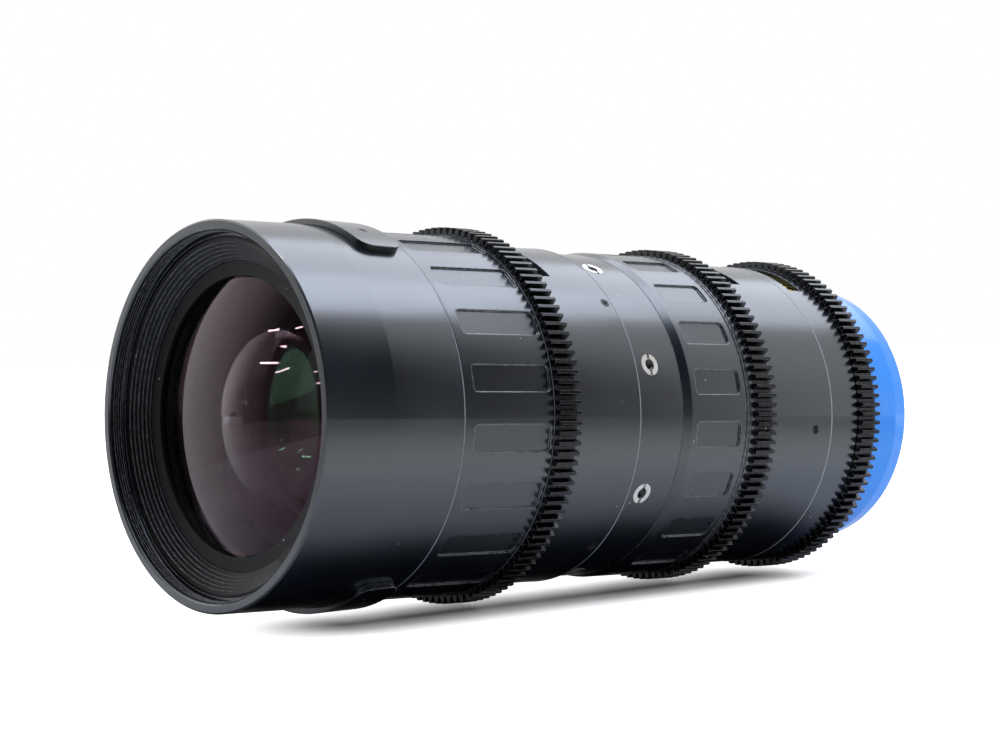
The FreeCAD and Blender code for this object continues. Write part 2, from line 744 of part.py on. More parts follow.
def keyCover():
    low, high = value(f"{taperRadius(coverFront)} + seatGap"), value("coverThickness")
    back = value(f"{taperRadius(f'({coverFront} + coverLength)')} + seatGap")
    length, half = value("coverLength"), value("coverSpan") / 2
    corners = [Vector(0, 0, low), Vector(0, length, back), Vector(0, length, back + high),
               Vector(0, 0, low + high)]
    section = Part.Face(Part.makePolygon(corners + corners[:1]))
    section.rotate(Vector(), Vector(0, 1, 0), -half)
    plate = section.revolve(Vector(), Vector(0, 1, 0), 2 * half)
    near = value("edgeBreak")
    ends = [edge for edge in plate.Edges if abs(edge.Length - high) < near
            and edge.Curve.TypeId == "Part::GeomLine"]
    plate = plate.makeFillet(value("coverCorner"), ends)
    top = value(f"{taperRadius(coverMiddle)} + seatGap + coverThickness")
    floor = top - value("screwHeadDepth")
    head = outwardCylinder(value("screwHead + screwGap"), floor, top + high, length / 2)
    hole = head.fuse(outwardCylinder(value("screwShank + screwGap"), low - high, top, length / 2))
    for sign in (1, -1):
        plate = plate.cut(around(hole, sign * value("coverScrewAngle")))
    return plate


group("key_covers", coverFront, keyCover(), (0, 180))
coverTop = value(f"{taperRadius(coverMiddle)} + seatGap + coverThickness")
turnOut = value("coverScrewAngle")
group("key_cover_screws", coverMiddle, screw(coverTop, value("screwLength")),
      (turnOut, -turnOut, 180 + turnOut, 180 - turnOut))
keyLow = value(f"{tubeOuter} - keySink")
wide, deep = value("keyWidth"), value("keyLength")
keyBlock = Part.makeBox(wide, deep, value("keyHeight"), Vector(-wide / 2, -deep / 2, keyLow))
upright = [edge for edge in keyBlock.Edges if edge.Vertexes[0].X == edge.Vertexes[1].X
           and edge.Vertexes[0].Y == edge.Vertexes[1].Y]
keyBlock = keyBlock.makeFillet(value("keyCorner"), upright)
group("focus_keys", coverMiddle, keyBlock, (0, 180))

# focus ring with its grip pockets, gear ring and scale
lipStart = f"({focusRear} - {focusFront} - lipLength)"
focusLength = f"({focusRear} - {focusFront})"
focusRing = turned("focus_ring", focusFront, [
    (focusRingInner, "0"),
    (f"({focusRadius} - edgeBreak)", "0"),
    (focusRadius, "edgeBreak"),
    (focusRadius, "focusGripLength"),
    (focusSeat, "focusGripLength"),
    (focusSeat, focusLength),
    (nutInner, focusLength),
    (nutInner, lipStart),
    (focusRingInner, lipStart),
])
slotPockets(focusRing, "focus_grip", f"({focusRadius} - gripPocketDepth)", "gripPocketWidth",
            "focusGripFront", "(focusGripLength - focusGripRear)", "gripPocketCorner", "gripPocketAngle",
            "gripPockets")


def gearRing(name, station, bore, rim, holes=()):
    """A ring of straight teeth of the lens-gear module, its tooth count set by the rim under them."""
    module = value("gearModule")
    inner, wide = value(bore), value("gearWidth")
    teeth = round(2 * (value(f"{bore} + {rim}") / module + value("toothBelow")))
    tip, root = module * (teeth / 2 + value("toothAbove")), module * (teeth / 2 - value("toothBelow"))
    step = 2 * math.pi / teeth
    atTip, atRoot = value("toothTip"), value("toothRoot")
    shares = ((root, -atRoot), (tip, -atTip), (tip, atTip), (root, atRoot))
    points = []
    for tooth in range(teeth):
        for radius, share in shares:
            angle = (tooth + 0.5 + share) * step
            points.append(Vector(radius * math.sin(angle), 0, -radius * math.cos(angle)))
    disc = Part.Face(Part.makePolygon(points + points[:1]))
    ring = disc.extrude(Vector(0, wide, 0)).cut(Part.makeCylinder(inner, wide, Vector(), Vector(0, 1, 0)))
    piece = doc.addObject("Part::Feature", name)
    piece.Shape = ring.cut(list(holes)) if holes else ring
    keep(piece, name, station)
    return teeth


focusTeeth = gearRing("focus_gear", focusGearFront, f"({focusSeat} + seatGap)", "focusGearRim")
sleeveInner = f"({middleRadius} - sleeveWall)"
scaleOuter = f"({sleeveInner} - scaleGap)"
turned("focus_scale_ring", focusRear, tube(f"({scaleOuter} - scaleThickness)", scaleOuter, "scaleLength"))

# the nut that the focus ring drives, with its slotted skirt, and the focus cell that it carries
nutTotal = "(skirtLength + nutLength)"
skirtFront = f"({nutFront} - skirtLength)"
focusNut = turned("focus_nut", skirtFront, [
    (nutInner, "0"),
    (skirtOuter, "0"),
    (skirtOuter, "skirtLength"),
    (nutOuter, "skirtLength"),
    (nutOuter, nutTotal),
    (nutInner, nutTotal),
])
slotPockets(focusNut, "key_slot", f"({nutInner} - skirtThickness)", "(keyWidth + 2 * runningGap)",
            f"({coverMiddle} - keyLength / 2 - airGap - {skirtFront})",
            f"({coverMiddle} + keyLength / 2 + focusTravel + airGap - {skirtFront})",
            "keyCorner", "0", "2")
roundPockets(focusNut, "link_hole", f"({nutInner} - skirtThickness)", "(linkPinRadius + seatGap)",
             "(skirtLength + nutLength / 2)", "linkPinAngle", "3")
cellRadius = f"({tubeInner} - runningGap)"
cellBore = f"({cellRadius} - focusCellWall)"
focusCellFront = f"({linkStation} - focusCellPin)"
focusCell = turned("focus_cell", focusCellFront, [
    (f"({cellBore} - focusCellWall)", "0"),
    (cellRadius, "0"),
    (cellRadius, "focusCellLength"),
    ("focusCellMouth", "focusCellLength"),
    ("focusCellMouth", "(focusCellLength - focusCellLip)"),
    (cellBore, "(focusCellLength - focusCellLip)"),
    (cellBore, "focusCellLip"),
    (f"({cellBore} - focusCellWall)", "focusCellLip"),
])
roundPockets(focusCell, "link_hole", f"({cellBore} - focusCellWall)", "(linkPinRadius + seatGap)",
             "focusCellPin", "linkPinAngle", "3")
focusGlass = f"({cellBore} - glassGap)"
focusLensFront = f"({focusCellFront} + focusCellLip)"
lens("focus_lens_front", focusLensFront, focusGlass, "focusFrontRim", "focusFrontDepth",
     "focusJoinDepth", -1, 1)
lens("focus_lens_rear", f"({focusLensFront} + focusFrontRim + glassGap)", focusGlass, "focusRearRim",
     "focusJoinDepth", "focusRearDepth", -1, 1)
linkPin = outwardCylinder(value("linkPinRadius"), value(f"{cellBore} + airGap"),
                          value(f"{nutOuter} - airGap"))
group("focus_link_pins", linkStation, linkPin, spread(value("linkPinAngle"), 3))

# middle barrel with the focus scale's window
middleBarrel = turned("middle_barrel", middleFront, [
    (sleeveInner, "0"),
    (f"({middleRadius} - edgeBreak)", "0"),
    (middleRadius, "edgeBreak"),
    (middleRadius, "middleBarrelLength"),
    (tubeSeat, "middleBarrelLength"),
    (tubeSeat, "scaleRoom"),
    (sleeveInner, "scaleRoom"),
])
window(middleBarrel, "focus_window", scaleOuter, f"({frontRadius})", "focusWindowFront", "focusWindowLength",
       "focusWindowSpan")
middleScrewStation = "(middleBarrelLength - middleScrewSetback)"
roundPockets(middleBarrel, "screw_head", f"({middleRadius} - screwHeadDepth)", "(screwHead + screwGap)",
             middleScrewStation, "middleScrewAngle", "4")
roundPockets(middleBarrel, "screw_shank", f"({middleRadius} - screwLength - airGap)",
             "(screwShank + screwGap)", middleScrewStation, "middleScrewAngle", "4")
group("middle_barrel_screws", f"({middleFront} + {middleScrewStation})",
      screw(value(middleRadius), value("screwLength")), spread(value("middleScrewAngle"), 4))

# accessory ring, a solid web that carries the zoom guide tube and takes the threaded inserts
guideSeat = f"({guideOuter} + seatGap)"
webRearEnd = "(carrierFront + carrierLength)"
accessoryRing = turned("accessory_ring", accessoryFront, [
    (tubeInner, "0"),
    (accessoryRadius, "0"),
    (accessoryRadius, "accessoryLength"),
    (tubeInner, "accessoryLength"),
    (tubeInner, webRearEnd),
    (guideSeat, webRearEnd),
    (guideSeat, "carrierFront"),
    (tubeInner, "carrierFront"),
])
insertStation = "(carrierFront + carrierLength / 2)"
roundPockets(accessoryRing, "insert_hole", f"({accessoryRadius} - insertDepth)", "(insertRadius + seatGap)",
             insertStation, "insertAngle", "insertCount")


def threadedInsert():
    top, depth = value(accessoryRadius), value("insertDepth")
    radius, slot = value("insertRadius"), value("insertSlot")
    piece = outwardCylinder(radius, top - depth, top)
    piece = piece.cut(outwardCylinder(value("insertHole"), top - depth, top))
    return piece.cut(Part.makeBox(2 * radius, slot, slot, Vector(-radius, -slot / 2, top - slot)))


group("accessory_inserts", f"({accessoryFront} + {insertStation})", threadedInsert(),
      spread(value("insertAngle"), value("insertCount")))

# the fixed tube under the zoom ring
zoomTubeLength = f"({zoomTubeRear} - {accessoryRear})"
stepDown = f"({zoomRear} - lipFront - {accessoryRear})"
zoomTube = turned("zoom_tube", accessoryRear, [
    (tubeInner, "0"),
    (tubeOuter, "0"),
    (tubeOuter, stepDown),
    (zoomTubeOuter, stepDown),
    (zoomTubeOuter, zoomTubeLength),
    (tubeInner, zoomTubeLength),
])
pinSpan = f"(2 * asin((drivePinRadius + airGap) / {tubeInner}))"
window(zoomTube, "drive_slot", f"({tubeInner} - tubeWall)", f"({tubeOuter} + tubeWall)",
       f"({drivePin} - {accessoryRear} - drivePinRadius - slotGap)", "(2 * drivePinRadius + 2 * slotGap)",
       f"(zoomAngle * 1 deg + {pinSpan}) / 1 deg", "(drivePinAngle + zoomAngle / 2)", "2")

# zoom ring with its bevel, grip pockets, double groove, gear ring and scale
zoomInner = f"({tubeOuter} + runningGap)"
lipInner = f"({zoomTubeOuter} + runningGap)"
zoomLength = f"({zoomRear} - {zoomFront})"
lipBegin = f"({zoomLength} - lipFront + airGap)"
grooveFloor = f"({zoomRadius} - grooveDepth)"
grooves = []
for i in (1, 0):
    start = f"(zoomGripLength - grooveRear - {i} * groovePitch - grooveWidth)"
    end = f"(zoomGripLength - grooveRear - {i} * groovePitch)"
    grooves += [(zoomRadius, start), (grooveFloor, start), (grooveFloor, end), (zoomRadius, end)]
zoomRing = turned("zoom_ring", zoomFront, [
    (zoomInner, "0"),
    (accessoryRadius, "0"),
    (zoomRadius, "bevelLength"),
    *grooves,
    (zoomRadius, "zoomGripLength"),
    (zoomSeat, "zoomGripLength"),
    (zoomSeat, zoomLength),
    (lipInner, zoomLength),
    (lipInner, lipBegin),
    (zoomInner, lipBegin),
])
slotPockets(zoomRing, "zoom_grip", f"({zoomRadius} - gripPocketDepth)", "gripPocketWidth", "zoomGripFront",
            "(zoomGripLength - zoomGripRear)", "gripPocketCorner", "gripPocketAngle", "gripPockets")
roundPockets(zoomRing, "drive_hole", f"({zoomInner} - tubeWall)", "(drivePinRadius + seatGap)",
             f"({drivePin} - {zoomFront})", "drivePinAngle", "2")
zoomTeeth = gearRing("zoom_gear", zoomGearFront, f"({zoomSeat} + seatGap)", "zoomGearRim")
rearSleeveInner = f"({rearRadius} - sleeveWall)"
rearScaleOuter = f"({rearSleeveInner} - scaleGap)"
rearScaleInner = f"({rearScaleOuter} - scaleThickness)"
turned("zoom_scale_ring", zoomRear, tube(rearScaleInner, rearScaleOuter, "scaleLength"))


# cam drum: a tube with three steep and three shallow helical slots, each ended by a round

def camSlot(start, travel, leftHand):
    """One helical slot over the zoom ring's whole turn, begun at the top."""
    turn = value("zoomAngle")
    low, high = value(f"{drumInner} - overCut"), value(f"{drumOuter} + overCut")
    radius = value("followerRadius + followerGap")
    middle = (low + high) / 2
    lead = travel * 360 / turn
    slope = math.atan2(lead, 2 * math.pi * middle)
    half = radius / math.cos(slope)
    path = Part.makeHelix(lead, travel, middle, 0, leftHand)
    corners = [Vector(low, 0, -half), Vector(high, 0, -half), Vector(high, 0, half), Vector(low, 0, half)]
    section = Part.makePolygon(corners + corners[:1])
    sweep = Part.BRepOffsetAPI.MakePipeShell(Part.Wire(path.Edges))
    sweep.setFrenetMode(True)
    sweep.add(section)
    sweep.build()
    sweep.makeSolid()
    slot = sweep.shape()
    slot.Placement = Placement(Vector(0, start, 0), Rotation(Vector(1, 1, 1), -120))
    first = outwardCylinder(radius, low, high, start)
    last = around(outwardCylinder(radius, low, high, start + travel), -turn if leftHand else turn)
    return [slot, first, last]


def camDrum():
    length = value(f"{drumRear} - {drumFront}")
    axis = Vector(0, 1, 0)
    drum = Part.makeCylinder(value(drumOuter), length, Vector(), axis)
    drum = drum.cut(Part.makeCylinder(value(drumInner), length, Vector(), axis))
    turn, first = value("zoomAngle"), value("followerAngle")
    variatorLow = value(f"{variatorStation} - {drumFront}")
    compensatorLow = value(f"{compensatorStation} - {drumFront}") - value("compensatorTravel")
    steep = camSlot(variatorLow, value("variatorTravel"), True)
    shallow = camSlot(compensatorLow, value("compensatorTravel"), False)
    for angle in spread(first, 3):
        for piece in steep:
            drum = drum.cut(around(piece, angle))
        for piece in shallow:
            drum = drum.cut(around(piece, angle - turn))
    hole = outwardCylinder(value("drivePinRadius + seatGap"), value(f"{drumInner} - overCut"),
                           value(f"{drumOuter} + overCut"), value(f"{drivePin} - {drumFront}"))
    return drum.cut([around(hole, angle) for angle in spread(value("drivePinAngle"), 2)])


drumPiece = doc.addObject("Part::Feature", "cam_drum")
drumPiece.Shape = camDrum()
keep(drumPiece, "cam_drum", drumFront)
zoomPin = outwardCylinder(value("drivePinRadius"), value(f"{drumInner} + airGap"),
                          value(f"{zoomSeat} - seatGap"))
group("zoom_drive_pins", drivePin, zoomPin, spread(value("drivePinAngle"), 2))

# guide tube with the straight slots that keep the zoom cells from turning
guideLength = f"({rearCarrierEnd} - {carrierStart})"
guideTube = turned("guide_tube", carrierStart, tube(guideInner, guideOuter, guideLength))
slotPockets(guideTube, "guide_slot", f"({guideInner} - guideWall)", "(2 * followerRadius + 2 * runningGap)",
            f"({variatorStation} - followerRadius - airGap - {carrierStart})",
            f"({compensatorStation} + followerRadius + airGap - {carrierStart})",
            "followerRadius", "followerAngle", "3")

# the two sliding zoom cells with their glass and followers
zoomCellBore = f"({cellOuter} - cellWall)"
zoomGlass = f"({zoomCellBore} - glassGap)"
zoomCellMouth = f"({zoomCellBore} - cellLip)"
follower = outwardCylinder(value("followerRadius"), value(f"{zoomCellBore} + airGap"),
                           value(f"{drumOuter} - followerShort"))


def zoomCell(name, station, ahead, seat, rim, frontDepth, rearDepth, side):
    """A cell that reaches a length ahead of its followers and carries one glass element."""
    total = "(cellLong + cellShort)"
    front = f"({station} - {ahead})"
    body = turned(f"{name}_cell", front, [
        (zoomCellMouth, "0"),
        (cellOuter, "0"),
        (cellOuter, total),
        (zoomCellBore, total),
        (zoomCellBore, "cellLip"),
        (zoomCellMouth, "cellLip"),
    ])
    roundPockets(body, "follower_hole", f"({zoomCellBore} - glassGap)", "(followerRadius + seatGap)",
                 ahead, "followerAngle", "3")
    lens(f"{name}_lens", f"({front} + cellLip + {seat})", zoomGlass, rim, frontDepth, rearDepth, side, side)
    group(f"{name}_followers", station, follower, spread(value("followerAngle"), 3))


zoomCell("variator", variatorStation, "cellLong", "0", "variatorRim", "variatorFrontDepth",
         "variatorRearDepth", -1)
zoomCell("compensator", compensatorStation, "cellShort",
         behindLip("compensatorFrontDepth", zoomGlass, zoomCellMouth), "compensatorRim",
         "compensatorFrontDepth", "compensatorRearDepth", 1)

# front part of the rear barrel, with the zoom scale's window and the rear seat of the guide tube
bearingRear = "(scaleRoom + rearCarrierFront)"
carrierRear = f"({bearingRear} + rearCarrierLength)"
relayBore = f"({guideSeat} + relayFlange + relayWall)"
rearBarrel = turned("rear_barrel_front", rearFront, [
    (rearSleeveInner, "0"),
    (f"({rearRadius} - edgeBreak)", "0"),
    (rearRadius, "edgeBreak"),
    (rearRadius, "rearBarrelLength"),
    (relayBore, "rearBarrelLength"),
    (relayBore, carrierRear),
    (guideSeat, carrierRear),
    (guideSeat, bearingRear),
    (f"({zoomTubeOuter} + seatGap)", bearingRear),
    (f"({zoomTubeOuter} + seatGap)", "scaleRoom"),
    (rearSleeveInner, "scaleRoom"),
])
window(rearBarrel, "zoom_window", rearScaleOuter, frontRadius, "zoomWindowFront", "zoomWindowLength",
       "zoomWindowSpan")
rearScrewStation = "(rearBarrelLength - rearScrewSetback)"
roundPockets(rearBarrel, "screw_head", f"({rearRadius} - screwHeadDepth)", "(screwHead + screwGap)",
             rearScrewStation, "rearScrewAngle", "4")
roundPockets(rearBarrel, "screw_shank", f"({rearRadius} - screwLength - airGap)", "(screwShank + screwGap)",
             rearScrewStation, "rearScrewAngle", "4")
group("rear_barrel_screws", f"({rearFront} + {rearScrewStation})",
      screw(value(rearRadius), value("screwLength")), spread(value("rearScrewAngle"), 4))

# rear part of the rear barrel: a sleeve over the iris scale and a tube that the iris ring turns on
irisTubeLength = f"({adapterFront} - {irisBarrelFront})"
bladeStack = "(bladeGap + bladeCount * bladePitch)"
irisPin = f"({driveRingFront} + driveRingLength / 2)"
irisBarrel = turned("rear_barrel_rear", irisBarrelFront, [
    (irisTubeInner, "0"),
    (f"({rearRadius} - irisSeam)", "0"),
    (rearRadius, "irisSeam"),
    (rearRadius, "irisBarrelLength"),
    (rearSleeveInner, "irisBarrelLength"),
    (rearSleeveInner, "irisWeb"),
    (irisTubeOuter, "irisWeb"),
    (irisTubeOuter, irisTubeLength),
    (irisTubeInner, irisTubeLength),
])
window(irisBarrel, "iris_window", rearScaleOuter, frontRadius, "irisWindowFront", "irisWindowLength",
       "irisWindowSpan")
irisPinSpan = f"(2 * asin((irisPinRadius + airGap) / {irisTubeInner}))"
window(irisBarrel, "drive_slot", f"({irisTubeInner} - irisTubeWall)", rearRadius,
       f"({irisPin} - {irisBarrelFront} - irisPinRadius - slotGap)", "(2 * irisPinRadius + 2 * slotGap)",
       f"(irisAngle * 1 deg + {irisPinSpan}) / 1 deg", "(drivePinAngle + irisAngle / 2)", "2")

# iris ring, its scale and the pins that turn the drive ring
irisBore = f"({irisTubeOuter} + runningGap)"
pinOuter = f"({irisBore} + irisPinReach)"
pinHole = outwardCylinder(value("irisPinRadius + seatGap"), value(f"{irisTubeOuter} - irisTubeWall"),
                          value(f"{pinOuter} + seatGap"), value(f"{irisPin} - {irisRingFront}"))
irisTeeth = gearRing("iris_ring", irisRingFront, irisBore, "irisGearRim",
                     [around(pinHole, angle) for angle in spread(value("drivePinAngle"), 2)])
turned("iris_scale_ring", f"({irisRingFront} - irisScaleLength)",
       tube(rearScaleInner, rearScaleOuter, "irisScaleLength"))
driveRingOuter = f"({irisTubeInner} - runningGap)"
driveRing = turned("iris_drive_ring", driveRingFront,
                   tube("driveRingOpening", driveRingOuter, "driveRingLength"))
roundPockets(driveRing, "pin_hole", f"({driveRingOuter} - irisPinDepth - seatGap)",
             "(irisPinRadius + seatGap)", "(driveRingLength / 2)", "drivePinAngle", "2")
drivePinPiece = outwardCylinder(value("irisPinRadius"), value(f"{driveRingOuter} - irisPinDepth"),
                                value(pinOuter))
group("iris_drive_pins", irisPin, drivePinPiece, spread(value("drivePinAngle"), 2))


def axialHoles(body, name, circle, radius, angle, count, floor=None):
    """Round holes parallel to the optical axis on a circle, right through or from a floor backwards."""
    sketch = newSketch(body, f"{name}_sketch", "XZ_Plane")
    if floor:
        sketch.AttachmentOffset = Placement(Vector(0, 0, -value(floor)), Rotation())
        sketch.setExpression(".AttachmentOffset.Base.z", cells(f"0 - {floor}"))
    across, up = f"({circle} * sin({angle}))", f"({circle} * cos({angle}))"
    middle = Vector(value(across), value(up), 0)
    sketch.addGeometry(Part.Circle(middle, Vector(0, 0, 1), value(radius)), False)
    setSize(sketch, "Radius", (0,), (), "holeRadius", radius)
    setSize(sketch, "DistanceX", (-1, 1), (0, 3), "holeAcross", across)
    setSize(sketch, "DistanceY", (-1, 1), (0, 3), "holeUp", up)
    pocket = body.newObject("PartDesign::Pocket", name)
    pocket.Profile = sketch
    pocket.Type = "ThroughAll"
    pocket.Midplane = not floor
    patterned(body, pocket, f"{name}_pattern", count)


# iris housing and its blades, each blade in a layer of its own and hung on a pin in the housing's plate
housingOuter = f"({irisTubeInner} - seatGap)"
housingInner = f"({housingOuter} - housingWall)"
irisHousing = turned("iris_housing", housingStart, [
    ("bladeOpening", "0"),
    (housingOuter, "0"),
    (housingOuter, f"(housingPlate + {bladeStack})"),
    (housingInner, f"(housingPlate + {bladeStack})"),
    (housingInner, "housingPlate"),
    ("bladeOpening", "housingPlate"),
])
axialHoles(irisHousing, "pivot_hole", "pivotRadius", "(pivotPin + runningGap)", "pivotAngle", "bladeCount")


def bound(kind, name, **sums):
    """A plain solid whose sizes are bound to the sheet; an underscore stands for a dot."""
    piece = doc.addObject(kind, name)
    for prop, text in sums.items():
        piece.setExpression(prop.replace("_", "."), cells(text))
    return piece


def blade(index):
    name = f"iris_blade_{index + 1}"
    outer, inner = "(bladeOpening + bladeMargin + bladeWidth)", "(bladeOpening + bladeMargin)"
    station = f"({bladesStart} + {index} * bladePitch)"
    reach = f"({station} - {housingStart} - pivotEnd)"
    full = bound("Part::Cylinder", f"{name}_disc", Radius=outer, Height="bladeThickness", Angle="bladeSpan")
    hole = bound("Part::Cylinder", f"{name}_hole", Radius=inner, Height="bladeThickness")
    band = doc.addObject("Part::Cut", f"{name}_band")
    band.Base = full
    band.Tool = hole
    arm = bound("Part::Box", f"{name}_arm", Length="(pivotRadius - bladeOpening - bladeMargin - pivotLug)",
                Width="pivotLug", Height="bladeThickness", Placement_Base_x=f"({inner} + pivotLug)")
    lug = bound("Part::Cylinder", f"{name}_lug", Radius="pivotLug", Height="bladeThickness",
                Placement_Base_x="pivotRadius")
    pin = bound("Part::Cylinder", f"{name}_pin", Radius="pivotPin", Height=f"({reach} + bladeThickness)",
                Placement_Base_x="pivotRadius", Placement_Base_z=f"(0 - {reach})")
    whole = doc.addObject("Part::MultiFuse", name)
    whole.Shapes = [band, arm, lug, pin]
    turn = value(f"pivotAngle + 360 * {index} / bladeCount")
    whole.Placement = Placement(Vector(), Rotation(Vector(0, 1, 0), turn) * Rotation(Vector(1, 1, 1), -120))
    keep(whole, name, station)


for index in range(int(value("bladeCount"))):
    blade(index)

# relay cells and their glass
relayFront = f"({rearCarrierEnd} - relayReach)"
relayRadius = f"({relayBore} - relayStep)"
relayInner = f"({relayRadius} - relayWall)"
relaySeat = f"({relayBore} - seatGap)"
relayRise = "(relayReach + relayFlange)"
turned("relay_front_cell", relayFront, [
    (f"({relayInner} - relayLip)", "0"),
    (relayRadius, "0"),
    (relayRadius, "relayReach"),
    (relaySeat, "relayReach"),
    (relaySeat, relayRise),
    (relayRadius, relayRise),
    (relayRadius, "relayLength"),
    (relayInner, "relayLength"),
    (relayInner, "relayLip"),
    (f"({relayInner} - relayLip)", "relayLip"),
])
lens("relay_front_lens", f"({relayFront} + relayLip)", f"({relayInner} - glassGap)", "relayRim",
     "relayFrontDepth", "relayRearDepth", -1, 1)
rearCellOuter = f"({spigotBore} - airGap)"
rearCellInner = f"({rearCellOuter} - rearCellWall)"
rearCellLength = f"({flange} + spigotLength - rearCellShort - {rearCellFront})"
rearGlassSeat = f"({rearCellLength} - rearGlassFront - rearGlassRim)"
turned("relay_rear_cell", rearCellFront, [
    (f"({rearCellInner} - relayLip)", "0"),
    (housingOuter, "0"),
    (housingOuter, "relayFlange"),
    (rearCellOuter, "relayFlange"),
    (rearCellOuter, rearCellLength),
    (rearCellInner, rearCellLength),
    (rearCellInner, rearGlassSeat),
    (f"({rearCellInner} - relayLip)", rearGlassSeat),
])
rearGlass = f"({rearCellInner} - glassGap)"
rearGlassBehind = behindLip("rearGlassFrontDepth", rearGlass, f"({rearCellInner} - relayLip)")
lens("relay_rear_lens", f"({rearCellFront} + {rearGlassSeat} + {rearGlassBehind})", rearGlass, "rearGlassRim",
     "rearGlassFrontDepth", "rearGlassRearDepth", 1, 1)

# camera mount: adapter, shim and the seat with its lugs and spigot
adapterReach = f"({adapterFront} - {rearCellFront} - relayFlange)"
adapterTotal = f"({adapterReach} + adapterPlate)"
shimFront = f"({adapterFront} + adapterPlate)"
flangeFront = f"({shimFront} + shimThickness)"
flangeThickness = f"({flange} - {flangeFront})"
adapter = turned("mount_adapter", f"({adapterFront} - {adapterReach})", [
    (spigotBore, "0"),
    (housingOuter, "0"),
    (housingOuter, adapterReach),
    (adapterRadius, adapterReach),
    (adapterRadius, adapterTotal),
    (spigotBore, adapterTotal),
])
shim = turned("mount_shim", shimFront, tube(spigotBore, "(flangeRadius - notchDepth)", "shimThickness"))
mount = turned("lens_mount", flangeFront, [
    (spigotBore, "0"),
    ("flangeRadius", "0"),
    ("flangeRadius", flangeThickness),
    ("spigotRadius", flangeThickness),
    ("spigotRadius", f"({flangeThickness} + spigotLength)"),
    (spigotBore, f"({flangeThickness} + spigotLength)"),
])
window(mount, "lug_notch", "(flangeRadius - notchDepth)", "(flangeRadius + notchDepth)", "0", flangeThickness,
       "notchSpan", "0", "notchCount")
for piece in (adapter, shim, mount):
    axialHoles(piece, "screw_hole", "mountScrewCircle", "(mountScrewShank + screwGap)", "mountScrewAngle",
               "mountScrewCount")
axialHoles(mount, "screw_seat", "mountScrewCircle", "(mountScrewHead + screwGap)", "mountScrewAngle",
           "mountScrewCount", f"({flangeThickness} - mountScrewSink - mountScrewHeadDepth)")


def mountScrew():
    """A screw along the axis, its head down by a little from the mount's seat."""
    axis = Vector(0, 1, 0)
    centre = Vector(0, 0, value("mountScrewCircle"))
    sink, head = value("mountScrewSink"), value("mountScrewHeadDepth")
    top, neck = centre - axis * sink, centre - axis * (sink + head)
    body = Part.makeCylinder(value("mountScrewHead"), head, neck, axis)
    length = value("mountScrewReach")
    body = body.fuse(Part.makeCylinder(value("mountScrewShank"), length, top - axis * length, axis))
    slot = value("screwCross")
    wide = 2 * value("mountScrewHead")
    return body.cut(Part.makeBox(wide, head, slot, top - Vector(wide / 2, head / 2, slot / 2)))


group("mount_screws", flange, mountScrew(), spread(value("mountScrewAngle"), value("mountScrewCount")))

# the push-on rear cap
capInner = "(flangeRadius + airGap)"
capOuter = f"({capInner} + capWall)"
capFront = f"({shimFront} + seatGap)"
capDepth = f"({flange} + spigotLength + capRoom - {capFront})"
capLength = f"({capDepth} + capBack)"
turned("rear_cap", capFront, [
    (capInner, "0"),
    (capOuter, "0"),
    (capOuter, f"({capLength} - capTaperLength)"),
    (f"({capOuter} - capTaper)", f"({capLength} - capEdge)"),
    (f"({capOuter} - capTaper - capEdge)", capLength),
    ("0", capLength),
    ("0", capDepth),
    (capInner, capDepth),
])

# check every object, then write one file for each sub-part
doc.recompute()
for item in doc.Objects:
    if "Invalid" in item.State or "Error" in item.State:
        raise RuntimeError(f"{item.Name} was not built: {item.State}")
os.makedirs("parts", exist_ok=True)
for piece in nodes:
    if piece.Shape.isNull() or not piece.Shape.isValid():
        raise RuntimeError(f"{piece.Label} has no valid shape")
    piece.Shape.exportStep(os.path.join("parts", f"{piece.Label}.step"))
print(len(nodes), "sub-parts; teeth", focusTeeth, zoomTeeth, irisTeeth)
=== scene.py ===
import bpy
import json
import math
from mathutils import Matrix, Vector


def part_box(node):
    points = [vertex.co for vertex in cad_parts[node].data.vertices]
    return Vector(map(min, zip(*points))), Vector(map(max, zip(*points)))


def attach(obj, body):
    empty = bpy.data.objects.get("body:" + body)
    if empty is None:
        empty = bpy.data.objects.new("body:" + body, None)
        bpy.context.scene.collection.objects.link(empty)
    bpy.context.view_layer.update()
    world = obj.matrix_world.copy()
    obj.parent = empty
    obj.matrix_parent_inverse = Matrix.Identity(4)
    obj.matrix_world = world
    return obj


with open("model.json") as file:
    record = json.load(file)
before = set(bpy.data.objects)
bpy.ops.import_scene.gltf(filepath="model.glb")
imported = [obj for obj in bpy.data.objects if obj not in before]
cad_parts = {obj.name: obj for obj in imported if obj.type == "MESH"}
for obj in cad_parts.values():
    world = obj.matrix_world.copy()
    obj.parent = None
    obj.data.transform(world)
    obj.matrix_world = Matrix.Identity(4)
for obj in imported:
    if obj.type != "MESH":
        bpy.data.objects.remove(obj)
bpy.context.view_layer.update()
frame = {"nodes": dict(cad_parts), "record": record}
nodes = frame["nodes"]
mm = 0.001
seatStation = 199.0                      # stations count from the front rim, in millimetres


def along(station):                      # place on the optical axis of a station
    return (station - seatStation) * mm


def addObject(name, data):
    thing = bpy.data.objects.new(name, data)
    bpy.context.scene.collection.objects.link(thing)
    return thing


# camera at the photograph's angle

view = {
    "place": (0.4811, -0.5245, 0.0076),
    "right": (0.656, 0.7547, 0.0055),
    "down": (0.0, 0.0073, -1.0),
    "focal": 86.4,
    "sensor": 36.0,
    "clip": 0.01,
}


